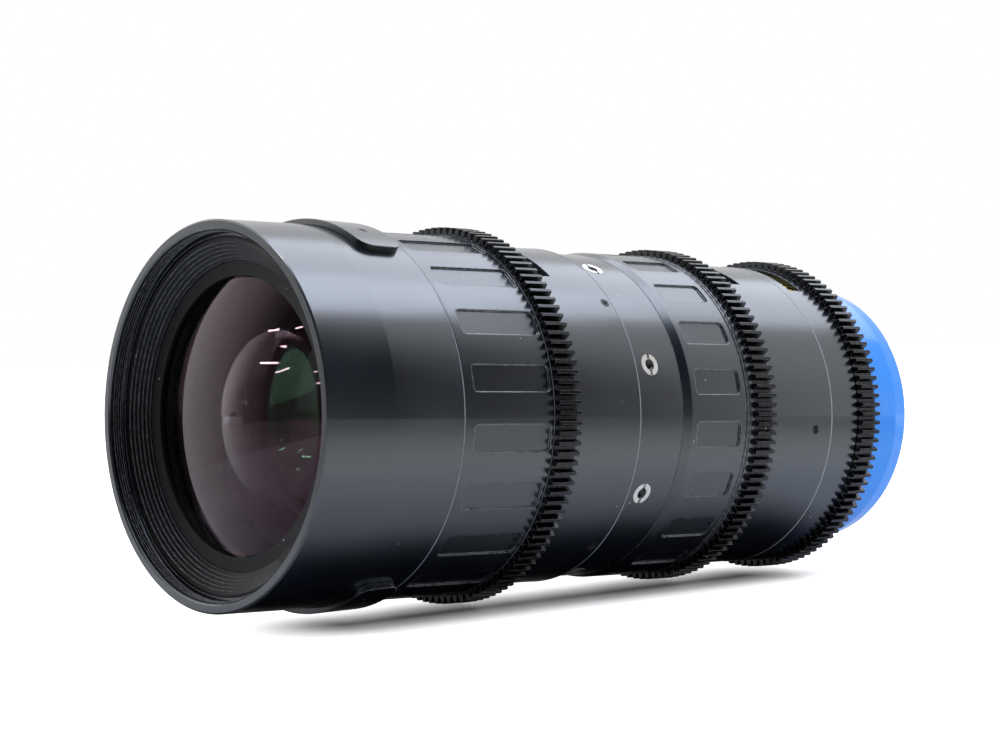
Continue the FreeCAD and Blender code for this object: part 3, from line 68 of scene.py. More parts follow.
def makeCamera():
    data = bpy.data.cameras.new("camera")
    data.lens = view["focal"]
    data.sensor_width = view["sensor"]
    data.clip_start = view["clip"]
    camera = addObject("camera", data)
    right = Vector(view["right"]).normalized()
    back = right.cross(-Vector(view["down"])).normalized()
    up = back.cross(right)
    turn = Matrix((right, up, back)).transposed().to_4x4()
    camera.matrix_world = Matrix.Translation(view["place"]) @ turn
    bpy.context.scene.camera = camera


makeCamera()
bpy.context.scene.view_settings.view_transform = "Standard"
print("camera set")


# shader node helpers

def addNode(tree, kind, **settings):
    node = tree.nodes.new(kind)
    for name, value in settings.items():
        setattr(node, name, value)
    return node


def feed(tree, socket, source):          # a number or colour is set, another node's socket is linked
    if isinstance(source, bpy.types.NodeSocket):
        tree.links.new(source, socket)
    else:
        socket.default_value = source


def math2(tree, kind, first, second=0.0, clamp=False):
    node = addNode(tree, "ShaderNodeMath", operation=kind, use_clamp=clamp)
    feed(tree, node.inputs[0], first)
    feed(tree, node.inputs[1], second)
    return node.outputs[0]


def scaleAndAdd(tree, source, times, plus):
    node = addNode(tree, "ShaderNodeMath", operation="MULTIPLY_ADD")
    for socket, value in zip(node.inputs, (source, times, plus)):
        feed(tree, socket, value)
    return node.outputs[0]


def rampBetween(tree, source, low, high):
    node = addNode(tree, "ShaderNodeMapRange", interpolation_type="SMOOTHSTEP")
    feed(tree, node.inputs["Value"], source)
    feed(tree, node.inputs["From Min"], low)
    feed(tree, node.inputs["From Max"], high)
    return node.outputs["Result"]


def mixColour(tree, mask, first, second):
    node = addNode(tree, "ShaderNodeMix", data_type="RGBA")
    feed(tree, node.inputs["Factor"], mask)
    feed(tree, node.inputs[6], first)
    feed(tree, node.inputs[7], second)
    return node.outputs[2]


def split(tree, vector):
    node = addNode(tree, "ShaderNodeSeparateXYZ")
    feed(tree, node.inputs[0], vector)
    return node.outputs


def flatLength(tree, first, second):
    flat = addNode(tree, "ShaderNodeCombineXYZ")
    feed(tree, flat.inputs["X"], first)
    feed(tree, flat.inputs["Y"], second)
    length = addNode(tree, "ShaderNodeVectorMath", operation="LENGTH")
    feed(tree, length.inputs[0], flat.outputs[0])
    return length.outputs["Value"]


def objectPlace(tree):
    return addNode(tree, "ShaderNodeTexCoord").outputs["Object"]


def worldPlace(tree):
    return split(tree, addNode(tree, "ShaderNodeNewGeometry").outputs["Position"])


def noise(tree, place, scale, detail=2.0):
    node = addNode(tree, "ShaderNodeTexNoise")
    feed(tree, node.inputs["Vector"], place)
    feed(tree, node.inputs["Scale"], scale)
    node.inputs["Detail"].default_value = detail
    return node.outputs["Fac"]


def bump(tree, height, distance, normal=None):
    node = addNode(tree, "ShaderNodeBump")
    node.inputs["Distance"].default_value = distance
    feed(tree, node.inputs["Height"], height)
    if normal is not None:
        feed(tree, node.inputs["Normal"], normal)
    return node.outputs["Normal"]


# effects that several finishes share

def newGroup(name, inputs, outputs):
    group = bpy.data.node_groups.new(name, "ShaderNodeTree")
    for label, value in inputs:
        socket = group.interface.new_socket(label, in_out="INPUT", socket_type="NodeSocketFloat")
        socket.default_value = value
    for label, kind in outputs:
        group.interface.new_socket(label, in_out="OUTPUT", socket_type=f"NodeSocket{kind}")
    start = addNode(group, "NodeGroupInput")
    end = addNode(group, "NodeGroupOutput")
    return group, start.outputs, end.inputs


def makeGrain():                         # the blasted surface under the anodising, with slow uneven tone
    group, given, out = newGroup("blastedGrain", [("Size", 0.0004), ("Patch", 0.02)],
                                 [("Height", "Float"), ("Tone", "Float")])
    place = objectPlace(group)
    feed(group, out["Height"], noise(group, place, math2(group, "DIVIDE", 1.0, given["Size"])))
    feed(group, out["Tone"], noise(group, place, math2(group, "DIVIDE", 1.0, given["Patch"]), 3.0))
    return group


def makeTurning():                       # fine rings that a lathe leaves round the optical axis
    group, given, out = newGroup("latheRings", [("Pitch", 0.00012)], [("Height", "Float")])
    parts = split(group, objectPlace(group))
    radius = flatLength(group, parts["X"], parts["Z"])
    lines = addNode(group, "ShaderNodeTexNoise", noise_dimensions="1D")
    feed(group, lines.inputs["W"], math2(group, "ADD", parts["Y"], radius))
    feed(group, lines.inputs["Scale"], math2(group, "DIVIDE", 1.0, given["Pitch"]))
    lines.inputs["Detail"].default_value = 1.0
    feed(group, out["Height"], lines.outputs["Fac"])
    return group


# bend: how far a rounded edge's normal turns, from no edge colour to the full rubbed and highlit edge; chips: noise
# where the rubbed edge and its painted highlight are broken
edgeWearAndHighlight = {"samples": 6, "bend": (0.93, 0.74), "chipScale": 900.0, "chips": (0.25, 0.6)}


def makeEdgeWearAndHighlight():                      # bright edges, partly rubbed wear and partly painted highlight, found by rounding them a little
    group, given, out = newGroup("edgeWearAndHighlight", [("Radius", 0.0003), ("Amount", 0.6), ("Whole", 0.0)],
                                 [("Mask", "Float"), ("Normal", "Vector")])
    rounded = addNode(group, "ShaderNodeBevel", samples=edgeWearAndHighlight["samples"])
    feed(group, rounded.inputs["Radius"], given["Radius"])
    dot = addNode(group, "ShaderNodeVectorMath", operation="DOT_PRODUCT")
    feed(group, dot.inputs[0], rounded.outputs["Normal"])
    feed(group, dot.inputs[1], addNode(group, "ShaderNodeNewGeometry").outputs["Normal"])
    bend = rampBetween(group, dot.outputs["Value"], *edgeWearAndHighlight["bend"])
    chips = noise(group, objectPlace(group), edgeWearAndHighlight["chipScale"])
    broken = rampBetween(group, chips, *edgeWearAndHighlight["chips"])
    wornAndHighlit = math2(group, "MULTIPLY", bend, math2(group, "MAXIMUM", broken, given["Whole"]))
    feed(group, out["Mask"], math2(group, "MULTIPLY", wornAndHighlit, given["Amount"], True))
    feed(group, out["Normal"], rounded.outputs["Normal"])
    return group


def makeDust():                          # a few pale specks lying on the finish
    group, given, out = newGroup("dustSpecks", [("Spacing", 0.006), ("Size", 0.034), ("Share", 0.5)],
                                 [("Mask", "Float")])
    cells = addNode(group, "ShaderNodeTexVoronoi")
    feed(group, cells.inputs["Vector"], objectPlace(group))
    feed(group, cells.inputs["Scale"], math2(group, "DIVIDE", 1.0, given["Spacing"]))
    near = math2(group, "LESS_THAN", cells.outputs["Distance"], given["Size"])
    parts = addNode(group, "ShaderNodeSeparateColor")
    feed(group, parts.inputs[0], cells.outputs["Color"])
    chosen = math2(group, "LESS_THAN", parts.outputs[0], given["Share"])
    feed(group, out["Mask"], math2(group, "MULTIPLY", near, chosen))
    return group


grainGroup = makeGrain()
turningGroup = makeTurning()
wearAndHighlightGroup = makeEdgeWearAndHighlight()
dustGroup = makeDust()


def placeGroup(tree, group, **values):
    node = addNode(tree, "ShaderNodeGroup", node_tree=group)
    for label, value in values.items():
        feed(tree, node.inputs[label], value)
    return node.outputs


def newMaterial(name):
    material = bpy.data.materials.new(name)
    material.use_nodes = True
    tree = material.node_tree
    return material, tree, tree.nodes["Principled BSDF"]


def dimmed(colour, times):
    return tuple(channel * times for channel in colour[:3]) + (1,)


# anodised metal, sizes in metres: grain and ring are the widths of their relief, edge is how far the rubbed edge
# and its painted highlight reach
anodised = {
    "anodisedBarrel": {
        "colour": (0.0035, 0.0048, 0.009, 1), "ior": 2.0, "rough": 0.21, "grain": 0.00028,
        "grainDepth": 0.000004, "ring": 0.00015, "ringDepth": 0.0000005, "edge": 0.0002, "wearAndHighlight": 0.7},
    "anodisedRing": {
        "colour": (0.0035, 0.0048, 0.009, 1), "ior": 2.0, "rough": 0.24, "grain": 0.00028,
        "grainDepth": 0.000004, "ring": 0.00015, "ringDepth": 0.0000005, "edge": 0.00045, "wearAndHighlight": 0.8},
    "anodisedGear": {
        "colour": (0.0012, 0.0012, 0.0015, 1), "ior": 1.45, "rough": 0.22, "grain": 0.0002,
        "grainDepth": 0.000003, "ring": 0.0001, "ringDepth": 0.000001, "edge": 0.00014, "wearAndHighlight": 1.0},
    "anodisedInside": {
        "colour": (0.003, 0.003, 0.0032, 1), "ior": 1.35, "rough": 0.5, "grain": 0.0002,
        "grainDepth": 0.000004, "ring": 0.0002, "ringDepth": 0.000002, "edge": 0.00015, "wearAndHighlight": 0.1},
    # painted highlights: the ridge edges are painted near white and kept whole, so the thread shows as fine bright
    # arcs
    "anodisedRidges": {
        "colour": (0.0015, 0.0015, 0.0017, 1), "ior": 1.22, "rough": 0.25, "grain": 0.0002,
        "grainDepth": 0.000002, "ring": 0.0002, "ringDepth": 0.000002, "edge": 0.00028, "wearAndHighlight": 1.0,
        "wornAndHighlit": (0.9, 0.9, 0.92, 1), "whole": 0.7},
    "blackenedScrew": {
        "colour": (0.001, 0.001, 0.0012, 1), "ior": 1.33, "rough": 0.22, "grain": 0.0002,
        "grainDepth": 0.000002, "ring": 0.0001, "ringDepth": 0.000001, "edge": 0.00014, "wearAndHighlight": 1.0},
}
anodisedAll = {
    "tint": (0.9, 0.95, 1.0, 1),
    # edge colour: bare metal where the anodising is rubbed off, and painted highlight along the edges
    "wornAndHighlit": (0.5, 0.51, 0.54, 1),
    "dust": (0.75, 0.75, 0.73, 1),
    "paleTone": 1.7,
    "uneven": (0.2, 0.8),
    "roughSpread": 0.06,
}


def makeAnodised(name, look):
    material, tree, shader = newMaterial(name)
    grain = placeGroup(tree, grainGroup, Size=look["grain"])
    rings = placeGroup(tree, turningGroup, Pitch=look["ring"])
    wearAndHighlight = placeGroup(tree, wearAndHighlightGroup, Radius=look["edge"], Amount=look["wearAndHighlight"], Whole=look.get("whole", 0.0))
    dust = placeGroup(tree, dustGroup)
    pale = dimmed(look["colour"], anodisedAll["paleTone"])
    toned = mixColour(tree, grain["Tone"], look["colour"], pale)
    # the edge mask paints rubbed metal and painted highlights alike in the pale edge colour
    wornAndHighlit = mixColour(tree, wearAndHighlight["Mask"], toned, look.get("wornAndHighlit", anodisedAll["wornAndHighlit"]))
    feed(tree, shader.inputs["Base Color"], mixColour(tree, dust["Mask"], wornAndHighlit, anodisedAll["dust"]))
    shader.inputs["IOR"].default_value = look["ior"]
    shader.inputs["Specular Tint"].default_value = anodisedAll["tint"]
    uneven = rampBetween(tree, grain["Tone"], *anodisedAll["uneven"])
    spread = anodisedAll["roughSpread"]
    feed(tree, shader.inputs["Roughness"], scaleAndAdd(tree, uneven, spread, look["rough"] - spread / 2))
    blasted = bump(tree, grain["Height"], look["grainDepth"], wearAndHighlight["Normal"])
    feed(tree, shader.inputs["Normal"], bump(tree, rings["Height"], look["ringDepth"], blasted))
    return material


bareMetal = {
    "turnedSteel": {"colour": (0.62, 0.61, 0.59, 1), "rough": 0.26, "ring": 0.0001, "ringDepth": 0.000002},
    "turnedBrass": {"colour": (0.72, 0.52, 0.24, 1), "rough": 0.3, "ring": 0.00012, "ringDepth": 0.000002},
    "turnedAluminium": {"colour": (0.5, 0.5, 0.51, 1), "rough": 0.33, "ring": 0.00015, "ringDepth": 0.000003},
    "nickelPlate": {"colour": (0.95, 0.94, 0.9, 1), "rough": 0.42, "ring": 0.0001, "ringDepth": 0.000001},
    # painted shade: the insert threads are coloured dark steel, standing in for the shade inside their holes
    "threadSteelPaintedShade": {"colour": (0.1, 0.1, 0.1, 1), "rough": 0.35, "ring": 0.0001, "ringDepth": 0.000001},
}
bareMetalAll = {"grain": 0.0003, "patch": 0.008, "dullTone": 0.8, "roughSpread": 0.12}


def makeBareMetal(name, look):
    material, tree, shader = newMaterial(name)
    grain = placeGroup(tree, grainGroup, Size=bareMetalAll["grain"], Patch=bareMetalAll["patch"])
    rings = placeGroup(tree, turningGroup, Pitch=look["ring"])
    dull = dimmed(look["colour"], bareMetalAll["dullTone"])
    feed(tree, shader.inputs["Base Color"], mixColour(tree, grain["Tone"], dull, look["colour"]))
    shader.inputs["Metallic"].default_value = 1.0
    spread = bareMetalAll["roughSpread"]
    feed(tree, shader.inputs["Roughness"], scaleAndAdd(tree, grain["Tone"], spread, look["rough"] - spread / 2))
    feed(tree, shader.inputs["Normal"], bump(tree, rings["Height"], look["ringDepth"]))
    return material


# coated glass: each element's coating has a tint of its own
coatings = {
    "front_element": {"tint": (0.55, 0.27, 0.36, 1), "ior": 1.55},
    "focus_lens_front": {"tint": (0.14, 0.2, 0.16, 1), "ior": 1.75},
    "focus_lens_rear": {"tint": (0.12, 0.52, 0.24, 1), "ior": 1.7},
    "variator_lens": {"tint": (0.1, 1.0, 0.35, 1), "ior": 1.7},
    "compensator_lens": {"tint": (1.0, 0.3, 0.15, 1), "ior": 1.7},
    "relay_front_lens": {"tint": (0.3, 1.0, 0.4, 1), "ior": 1.6},
    "relay_rear_lens": {"tint": (0.6, 0.4, 0.95, 1), "ior": 1.5},
}
glass = {"filmScale": 60.0, "film": (0.97, 0.97, 0.97, 1), "clear": (1, 1, 1, 1), "dustSpacing": 0.004,
         "dustSize": 0.012, "dustShare": 0.3, "dustRough": 0.5}


def makeGlass(name, look):
    material, tree, shader = newMaterial(name)
    film = noise(tree, objectPlace(tree), glass["filmScale"])
    dust = placeGroup(tree, dustGroup, Spacing=glass["dustSpacing"], Size=glass["dustSize"],
                      Share=glass["dustShare"])
    feed(tree, shader.inputs["Base Color"], mixColour(tree, film, glass["film"], glass["clear"]))
    shader.inputs["Transmission Weight"].default_value = 1.0
    shader.inputs["IOR"].default_value = look["ior"]
    shader.inputs["Specular Tint"].default_value = look["tint"]
    feed(tree, shader.inputs["Roughness"], math2(tree, "MULTIPLY", dust["Mask"], glass["dustRough"]))
    return material


# glossy moulded plastic of the rear cap
cap = {"colour": (0.025, 0.31, 1.0, 1), "shade": (0.018, 0.27, 0.92, 1), "rough": 0.14, "roughSpread": 0.06,
       "grain": 0.0012, "grainDepth": 0.000006, "patch": 0.03, "edge": 0.0004, "ior": 1.5}


def makeCapPlastic(name):
    material, tree, shader = newMaterial(name)
    grain = placeGroup(tree, grainGroup, Size=cap["grain"], Patch=cap["patch"])
    edges = placeGroup(tree, wearAndHighlightGroup, Radius=cap["edge"], Amount=0.0)
    feed(tree, shader.inputs["Base Color"], mixColour(tree, grain["Tone"], cap["shade"], cap["colour"]))
    shader.inputs["IOR"].default_value = cap["ior"]
    feed(tree, shader.inputs["Roughness"], scaleAndAdd(tree, grain["Tone"], cap["roughSpread"], cap["rough"]))
    feed(tree, shader.inputs["Normal"], bump(tree, grain["Height"], cap["grainDepth"], edges["Normal"]))
    return material


paints = {
    "yellowMarkPaint": {"colour": (0.9, 0.72, 0.06, 1), "rough": 0.45},
    "whiteMarkPaint": {"colour": (0.75, 0.75, 0.72, 1), "rough": 0.45},
    # painted highlight: the seam lines are a pale grey that stands in for light caught by the seams' chamfers
    "paintedSeamHighlight": {"colour": (0.34, 0.35, 0.38, 1), "rough": 0.35},
}
paintAll = {"grain": 0.0002, "patch": 0.003, "dullTone": 0.75, "roughSpread": 0.1, "grainDepth": 0.000004}


def makePaint(name, look):
    material, tree, shader = newMaterial(name)
    grain = placeGroup(tree, grainGroup, Size=paintAll["grain"], Patch=paintAll["patch"])
    dull = dimmed(look["colour"], paintAll["dullTone"])
    feed(tree, shader.inputs["Base Color"], mixColour(tree, grain["Tone"], dull, look["colour"]))
    feed(tree, shader.inputs["Roughness"], scaleAndAdd(tree, grain["Tone"], paintAll["roughSpread"], look["rough"]))
    feed(tree, shader.inputs["Normal"], bump(tree, grain["Height"], paintAll["grainDepth"]))
    return material


# which CAD nodes have which finish
finishes = {
    "anodisedBarrel": ["front_barrel", "middle_barrel", "accessory_ring", "rear_barrel_front",
                       "rear_barrel_rear", "mount_adapter"],
    "anodisedRing": ["focus_ring", "zoom_ring", "key_covers"],
    "anodisedGear": ["focus_gear", "zoom_gear", "iris_ring"],
    "anodisedRidges": ["front_baffle_ring"],
    "anodisedInside": ["front_tube", "front_retaining_ring", "focus_cell", "zoom_tube", "variator_cell",
                       "compensator_cell", "iris_housing", "relay_front_cell", "relay_rear_cell",
                       "focus_scale_ring", "zoom_scale_ring", "iris_scale_ring"]
    + [f"iris_blade_{number}" for number in range(1, 10)],
    "blackenedScrew": ["key_cover_screws", "middle_barrel_screws", "rear_barrel_screws"],
    "turnedSteel": ["focus_link_pins", "zoom_drive_pins", "variator_followers", "compensator_followers",
                    "iris_drive_pins", "lens_mount", "mount_screws"],
    "turnedBrass": ["focus_keys", "focus_nut", "mount_shim"],
    "turnedAluminium": ["cam_drum", "guide_tube", "iris_drive_ring"],
    "nickelPlate": ["accessory_inserts"],
    "blueCapPlastic": ["rear_cap"],
}


def finish(name, material):
    nodes[name].data.materials.clear()
    nodes[name].data.materials.append(material)


materials = {name: makeAnodised(name, look) for name, look in anodised.items()}
materials.update({name: makeBareMetal(name, look) for name, look in bareMetal.items()})
materials.update({name: makePaint(name, look) for name, look in paints.items()})
materials["blueCapPlastic"] = makeCapPlastic("blueCapPlastic")
for materialName, nodeNames in finishes.items():
    for nodeName in nodeNames:
        finish(nodeName, materials[materialName])
for nodeName, look in coatings.items():
    finish(nodeName, makeGlass(f"coated_{nodeName}", look))
print("finishes set")


# pieces too fine for the solids: threads, painted marks and seams with painted highlights

def addPiece(name, points, faces, finishName, body):
    mesh = bpy.data.meshes.new(name)
    mesh.from_pydata([tuple(point) for point in points], [], faces)
    mesh.materials.append(materials[finishName])
    for face in mesh.polygons:
        face.use_smooth = False
    mesh.update()
    piece = addObject(name, mesh)
    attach(piece, body)


# steps are those of one turn, and "from" is the station where the thread starts
filterThread = {"root": 0.04502, "crest": 0.04455, "length": 0.0034, "pitch": 0.00068, "steps": 180, "from": 0.5}
insertThread = {"root": 0.001495, "crest": 0.00128, "length": 0.0044, "pitch": 0.0005, "steps": 28}
threadRunOut = 0.25                      # turns over which a thread fades at either end
threadProfile = ((0.0, 0.05), (1.0, 0.45), (1.0, 0.55), (0.0, 0.95))      # share of the depth, share of the pitch


def threadCoil(look):                    # an inside thread along +Z, run out at both ends
    root, pitch, steps = look["root"], look["pitch"], look["steps"]
    count = int((look["length"] / pitch - 1) * steps)
    points, faces = [], []
    for i in range(count + 1):
        angle = 2 * math.pi * i / steps
        depth = min(1.0, i / steps / threadRunOut, (count - i) / steps / threadRunOut)
        for share, rise in threadProfile:
            radius = root + (look["crest"] - root) * depth * share
            points.append((radius * math.cos(angle), radius * math.sin(angle), pitch * i / steps + rise * pitch))
    size = len(threadProfile)
    for i in range(count):
        for j in range(size - 1):
            first = size * i + j
            faces.append((first, first + 1, first + size + 1, first + size))
    return points, faces


def makeFilterThread():
    points, faces = threadCoil(filterThread)
    start = along(filterThread["from"])
    placed = [(x, start + z, y) for x, y, z in points]
    addPiece("filter_thread_coil", placed, faces, "anodisedRidges", "barrel")


def makeInsertThreads():
    points, faces = threadCoil(insertThread)
    for mount in frame["record"]["mounts"]:
        if not mount["name"].startswith("accessory_thread"):
            continue
        axis = Vector(mount["axis"]).normalized()
        turn = axis.to_track_quat("Z", "Y")
        start = Vector(mount["pos_m"]) - axis * (mount["dims"]["length_mm"] * mm / 2)
        placed = [start + turn @ Vector(point) for point in points]
        # the threads take the darkened steel, as painted shade in the holes
        addPiece("insert_thread_" + mount["name"][-1], placed, faces, "threadSteelPaintedShade", "barrel")


# step and first are angles from the top; the marks go far enough round to fill their window at every setting
marks = {
    "iris_marks": {"node": "iris_scale_ring", "body": "iris_group", "count": 43, "step": 3.0, "first": -96.0,
                   "front": 0.12, "rear": 0.88, "width": 0.0008, "paint": "yellowMarkPaint"},
    "focus_marks": {"node": "focus_scale_ring", "body": "focus_group", "count": 60, "step": 6.0, "first": -20.0,
                    "front": 0.25, "rear": 0.6, "width": 0.0005, "paint": "whiteMarkPaint"},
    "zoom_marks": {"node": "zoom_scale_ring", "body": "zoom_group", "count": 21, "step": 10.0, "first": -160.0,
                   "front": 0.25, "rear": 0.6, "width": 0.0005, "paint": "whiteMarkPaint"},
}
markLift = 0.00002                       # the paint stands this far off its ring
shortMark = 0.7                          # length of every second mark beside the others


def makeMarks(name, look):
    low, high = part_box(look["node"])
    radius = high.x + markLift
    start = low.y + (high.y - low.y) * look["front"]
    end = low.y + (high.y - low.y) * look["rear"]
    points, faces = [], []
    for i in range(look["count"]):
        middle = math.radians(look["first"] + look["step"] * i)
        stop = end if i % 2 else start + (end - start) * shortMark
        half = look["width"] / radius / 2
        base = len(points)
        for y in (start, stop):
            for side in (-1, 0, 1):
                angle = middle + side * half
                points.append((radius * math.sin(angle), y, radius * math.cos(angle)))
        faces.append((base, base + 1, base + 4, base + 3))
        faces.append((base + 1, base + 2, base + 5, base + 4))
    addPiece(name, points, faces, look["paint"], look["body"])


# painted highlights: bright lines round the seams, where their chamfers would catch the light, in millimetres
seamLines = {
    "front_seam_line": {"station": 41.1, "radius": 46.84, "width": 0.3, "body": "barrel"},
    "focus_gear_line": {"station": 70.0, "radius": 46.64, "width": 0.2, "body": "focus_group"},
    "accessory_seam_line": {"station": 101.4, "radius": 44.6, "width": 0.36, "body": "barrel"},
    "rear_seam_line": {"station": 177.0, "radius": 42.4, "width": 0.5, "body": "barrel"},
}
seamProfile = ((-1, -0.08), (-0.8, 0.0), (0.8, 0.0), (1, -0.08))          # share of half the width, rise
seamSteps = 240


def makeSeamLine(name, look):
    middle = along(look["station"])
    points, faces = [], []
    for i in range(seamSteps):
        angle = 2 * math.pi * i / seamSteps
        for side, rise in seamProfile:
            radius = (look["radius"] + rise) * mm
            place = middle + side * look["width"] * mm / 2
            points.append((radius * math.sin(angle), place, radius * math.cos(angle)))
    size = len(seamProfile)
    for i in range(seamSteps):
        for j in range(size - 1):
            first, second = i * size + j, (i + 1) % seamSteps * size + j
            faces.append((first, second, second + 1, first + 1))
    addPiece(name, points, faces, "paintedSeamHighlight", look["body"])


makeFilterThread()
makeInsertThreads()
for name, look in marks.items():
    makeMarks(name, look)
for name, look in seamLines.items():
    makeSeamLine(name, look)
print("fine pieces made")


# stage: table, cards that only reflections see, and lamps; a glow is a list of from, to and amount of white

stage = {
    "gearContacts": ((73.6, 48.8), (191.5, 44.4)),      # station and radius of the two gears it rests on
    "middleStation": 100.0,
    "tableSize": 5.0,
    "tableColour": (0.8, 0.8, 0.8, 1),
    "tableRough": 0.35,
    "lensHalf": 0.07,                                   # distances from the lens start this far along it
    "shadowMiddle": 0.016,                              # the band of painted shadow that the camera sees lies this far in front of the axis
    # painted light: for the camera the table glows white except in a band along the lens, which stands in for its
    # shadow
    "seenGlow": ((-0.003, 0.018, 0.4), (0.009, 0.03, 0.6)),
    # painted light: mirrors and glass see the table glow brighter away from the lens
    "mirrorGlow": ((0.04, 0.2, 0.35), (0.2, 0.7, 0.65)),
    "mirrorEnd": (-0.6, -0.2),                          # the painted glow that mirrors see fades out ahead of the lens
    "mirrorShade": (0.058, 0.024),                      # painted shade: mirrors see the table's colour darken under the lens
    "mirrorDark": (0.02, 0.02, 0.02, 1),
    "worldDiffuse": 0.02,
}


def makeSheet(name, corners, material):
    mesh = bpy.data.meshes.new(name)
    mesh.from_pydata([tuple(corner) for corner in corners], [], [(0, 1, 2, 3)])
    mesh.materials.append(material)
    sheet = addObject(name, mesh)
    return sheet


def makeMirroredSheet(name, corners, material):          # only reflections and glass show it
    sheet = makeSheet(name, corners, material)
    sheet.visible_camera = False
    sheet.visible_diffuse = False
    sheet.visible_shadow = False


def lookedAt(tree):                      # 1 for rays from the camera, and 1 for rays from mirrors and glass
    path = addNode(tree, "ShaderNodeLightPath")
    other = math2(tree, "ADD", path.outputs["Is Glossy Ray"], path.outputs["Is Transmission Ray"], True)
    return path.outputs["Is Camera Ray"], other


def glowBy(tree, away, steps):
    total = 0.0
    for start, end, amount in steps:
        rise = rampBetween(tree, away, start, end)
        total = math2(tree, "ADD", math2(tree, "MULTIPLY", rise, amount), total)
    return total


def awayFrom(tree, place, middle, aside):    # distance on the table from a line along the lens
    distance = math2(tree, "ABSOLUTE", math2(tree, "SUBTRACT", place["Y"], middle))
    beyond = math2(tree, "MAXIMUM", math2(tree, "SUBTRACT", distance, stage["lensHalf"]), 0.0)
    return flatLength(tree, math2(tree, "SUBTRACT", place["X"], aside), beyond)


def makeTable():
    near, far = [Vector((0, along(station), -radius * mm)) for station, radius in stage["gearContacts"]]
    slope = (far - near).normalized() * stage["tableSize"]
    across = Vector((1, 0, 0)) * stage["tableSize"]
    middle = near + (far - near).normalized() * (along(stage["middleStation"]) - near.y)
    corners = [middle + across * a + slope * b for a, b in ((-1, -1), (1, -1), (1, 1), (-1, 1))]
    material, tree, shader = newMaterial("whiteTable")
    shader.inputs["Roughness"].default_value = stage["tableRough"]
    shader.inputs["Emission Color"].default_value = (1, 1, 1, 1)
    place = worldPlace(tree)
    under = awayFrom(tree, place, middle.y, 0.0)
    shadow = awayFrom(tree, place, middle.y, stage["shadowMiddle"])
    camera, mirror = lookedAt(tree)
    # painted shade under the lens, in the colour that mirrors see
    shade = math2(tree, "MULTIPLY", mirror, rampBetween(tree, under, *stage["mirrorShade"]))
    colour = mixColour(tree, shade, stage["tableColour"], stage["mirrorDark"])
    feed(tree, shader.inputs["Base Color"], colour)
    # painted light and shadow: the camera sees the table glow except along the lens
    seen = math2(tree, "MULTIPLY", camera, glowBy(tree, shadow, stage["seenGlow"]))
    ahead = rampBetween(tree, place["Y"], *stage["mirrorEnd"])
    # painted light that only mirrors and glass see
    glow = math2(tree, "MULTIPLY", glowBy(tree, under, stage["mirrorGlow"]), ahead)
    mirrored = math2(tree, "MULTIPLY", mirror, glow)
    feed(tree, shader.inputs["Emission Strength"], math2(tree, "ADD", seen, mirrored))
    makeSheet("table", corners, material)


# grey of the cards: each pair is a ramp's two ends
frontLevel = 0.12
leftCard = {"near": (-0.54, -0.28), "slope": 0.6, "high": (-0.19, -0.08), "highShare": 0.4, "most": 1.5}
sideCard = {"rise": 3.0, "reach": 0.25, "power": 1.9, "peak": 1.15, "ahead": (0.4, 0.7)}


def levelGrey(tree, x, y, z):
    return frontLevel


def leftGrey(tree, x, y, z):             # bright towards the lens and above a slanting line
    near = rampBetween(tree, y, *leftCard["near"])
    slanted = math2(tree, "ADD", z, math2(tree, "MULTIPLY", y, leftCard["slope"]))
    high = math2(tree, "MULTIPLY", rampBetween(tree, slanted, *leftCard["high"]), leftCard["highShare"])
    lit = math2(tree, "ADD", math2(tree, "ADD", near, high), frontLevel)
    return math2(tree, "MINIMUM", lit, leftCard["most"])


def sideGrey(tree, x, y, z):             # bright at its foot, dark above, and bright again past the cap
    risen = math2(tree, "MULTIPLY", math2(tree, "MAXIMUM", z, 0.0), sideCard["rise"])
    reach = math2(tree, "DIVIDE", math2(tree, "ADD", x, risen), sideCard["reach"])
    fall = math2(tree, "ADD", math2(tree, "POWER", reach, sideCard["power"]), 1.0)
    near = math2(tree, "MINIMUM", math2(tree, "DIVIDE", sideCard["peak"], fall), 1.0)
    ahead = rampBetween(tree, y, *sideCard["ahead"])
    return math2(tree, "ADD", near, math2(tree, "MULTIPLY", ahead, math2(tree, "SUBTRACT", 1.0, near)))


# each card: rows of two points each, and what its grey follows
cards = {
    "darkSide": {"rows": (((0.08, -0.95, -0.035), (0.08, 0.9, -0.035)),
                          ((0.62, -0.95, -0.02), (0.62, 0.9, -0.02)),
                          ((0.62, -0.95, 1.35), (0.62, 0.9, 1.35))), "grey": sideGrey},
    "front": {"rows": (((-0.26, -0.95, -0.047), (0.62, -0.95, -0.047)),
                       ((-0.26, -0.95, 1.2), (0.62, -0.95, 1.2))), "grey": levelGrey},
    "left": {"rows": (((-0.26, -0.02, -0.047), (-0.26, -0.95, -0.047)),
                      ((-0.26, -0.02, 0.75), (-0.26, -0.95, 0.75))), "grey": leftGrey},
}


def newGlow(name, colour):
    material, tree, shader = newMaterial(name)
    shader.inputs["Base Color"].default_value = (0, 0, 0, 1)
    shader.inputs["Emission Color"].default_value = colour
    return material, tree, shader


def makeCard(name, look):
    material, tree, shader = newGlow(name, (1, 1, 1, 1))
    shader.inputs["Specular IOR Level"].default_value = 0.0
    feed(tree, shader.inputs["Emission Strength"], look["grey"](tree, *worldPlace(tree)))
    for number, (first, second) in enumerate(zip(look["rows"], look["rows"][1:])):
        makeMirroredSheet(f"{name}_card_{number}", (*first, *reversed(second)), material)


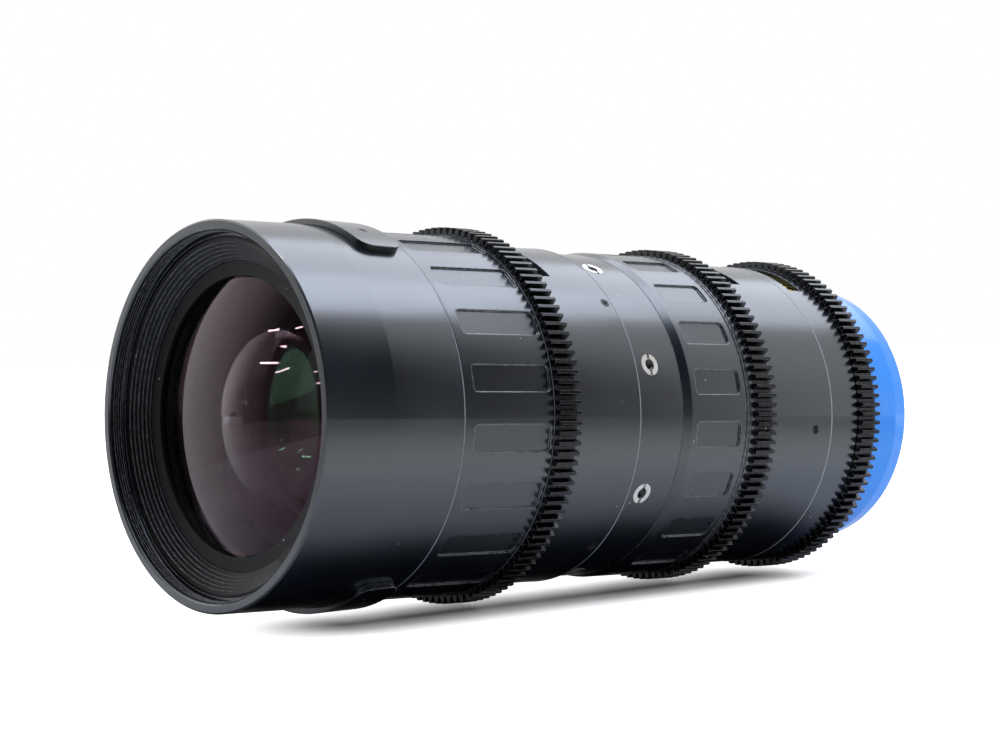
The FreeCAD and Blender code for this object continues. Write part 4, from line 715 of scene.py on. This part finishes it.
# bright bars before the left card: start and end of each, along and up
bars = {
    "ends": (((-0.465, 0.103), (-0.505, 0.115)), ((-0.57, 0.134), (-0.62, 0.152)),
             ((-0.525, 0.094), (-0.55, 0.1)), ((-0.458, 0.06), (-0.525, 0.071)),
             ((-0.52, 0.056), (-0.575, 0.07)), ((-0.71, 0.082), (-0.77, 0.095)),
             ((-0.73, 0.062), (-0.77, 0.066))),
    "x": -0.255,
    "thick": 0.0022,
    "colour": (1.0, 0.97, 0.95, 1),
    "strength": 45.0,
}


def makeBars():
    material, tree, shader = newGlow("lampBars", bars["colour"])
    feed(tree, shader.inputs["Emission Strength"], bars["strength"])
    x, thick = bars["x"], bars["thick"]
    for number, ((y, z), (endY, endZ)) in enumerate(bars["ends"]):
        corners = ((x, y, z), (x, endY, endZ), (x, endY, endZ + thick), (x, y, z + thick))
        makeMirroredSheet(f"lamp_bar_{number}", corners, material)


def makeWorld():                         # white where it is seen or mirrored, nearly dark as a light
    world = bpy.data.worlds.new("studio")
    bpy.context.scene.world = world
    world.use_nodes = True
    tree = world.node_tree
    background = tree.nodes["Background"]
    background.inputs["Color"].default_value = (1, 1, 1, 1)
    camera, mirror = lookedAt(tree)
    dim = stage["worldDiffuse"]
    bright = math2(tree, "MULTIPLY", math2(tree, "ADD", camera, mirror, True), 1.0 - dim)
    feed(tree, background.inputs["Strength"], math2(tree, "ADD", bright, dim))


coolWhite = (0.9, 0.97, 1.13)
plainWhite = (1.0, 1.0, 1.0)
lamps = {
    "overheadNear": {"place": (0.21, -0.015, 0.8), "aim": (0.21, -0.015, 0.0), "size": (0.42, 1.27),
                     "radiance": 3.1, "colour": coolWhite},
    "overheadBack": {"place": (0.14, 0.885, 0.8), "aim": (0.14, 0.885, 0.0), "size": (0.28, 0.53),
                     "radiance": 1.9, "colour": coolWhite},
    "overheadFar": {"place": (-0.285, 0.25, 0.8), "aim": (-0.285, 0.25, 0.0), "size": (0.57, 1.8),
                    "radiance": 1.85, "colour": coolWhite},
    "rearFill": {"place": (0.42, 0.32, 0.05), "aim": (0.0, 0.0, 0.05), "size": (0.4, 0.14),
                 "radiance": 7.0, "colour": plainWhite, "mirrored": False},
    "tubeOne": {"place": (-0.3, -0.55, 1.0), "aim": (0, -0.2, 0), "size": (0.5, 0.012),
                "radiance": 50.0, "colour": plainWhite},
}


def makeLamp(name, look):
    data = bpy.data.lights.new(name, "AREA")
    data.shape = "RECTANGLE"
    data.size, data.size_y = look["size"]
    data.color = look["colour"]
    data.energy = look["radiance"] * math.pi * data.size * data.size_y
    lamp = addObject(name, data)
    lamp.location = look["place"]
    towards = Vector(look["aim"]) - Vector(look["place"])
    lamp.rotation_euler = towards.to_track_quat("-Z", "Y").to_euler()
    lamp.visible_camera = False
    lamp.visible_glossy = look.get("mirrored", True)


makeTable()
for name, look in cards.items():
    makeCard(name, look)
makeBars()
makeWorld()
for name, look in lamps.items():
    makeLamp(name, look)
print("stage set")
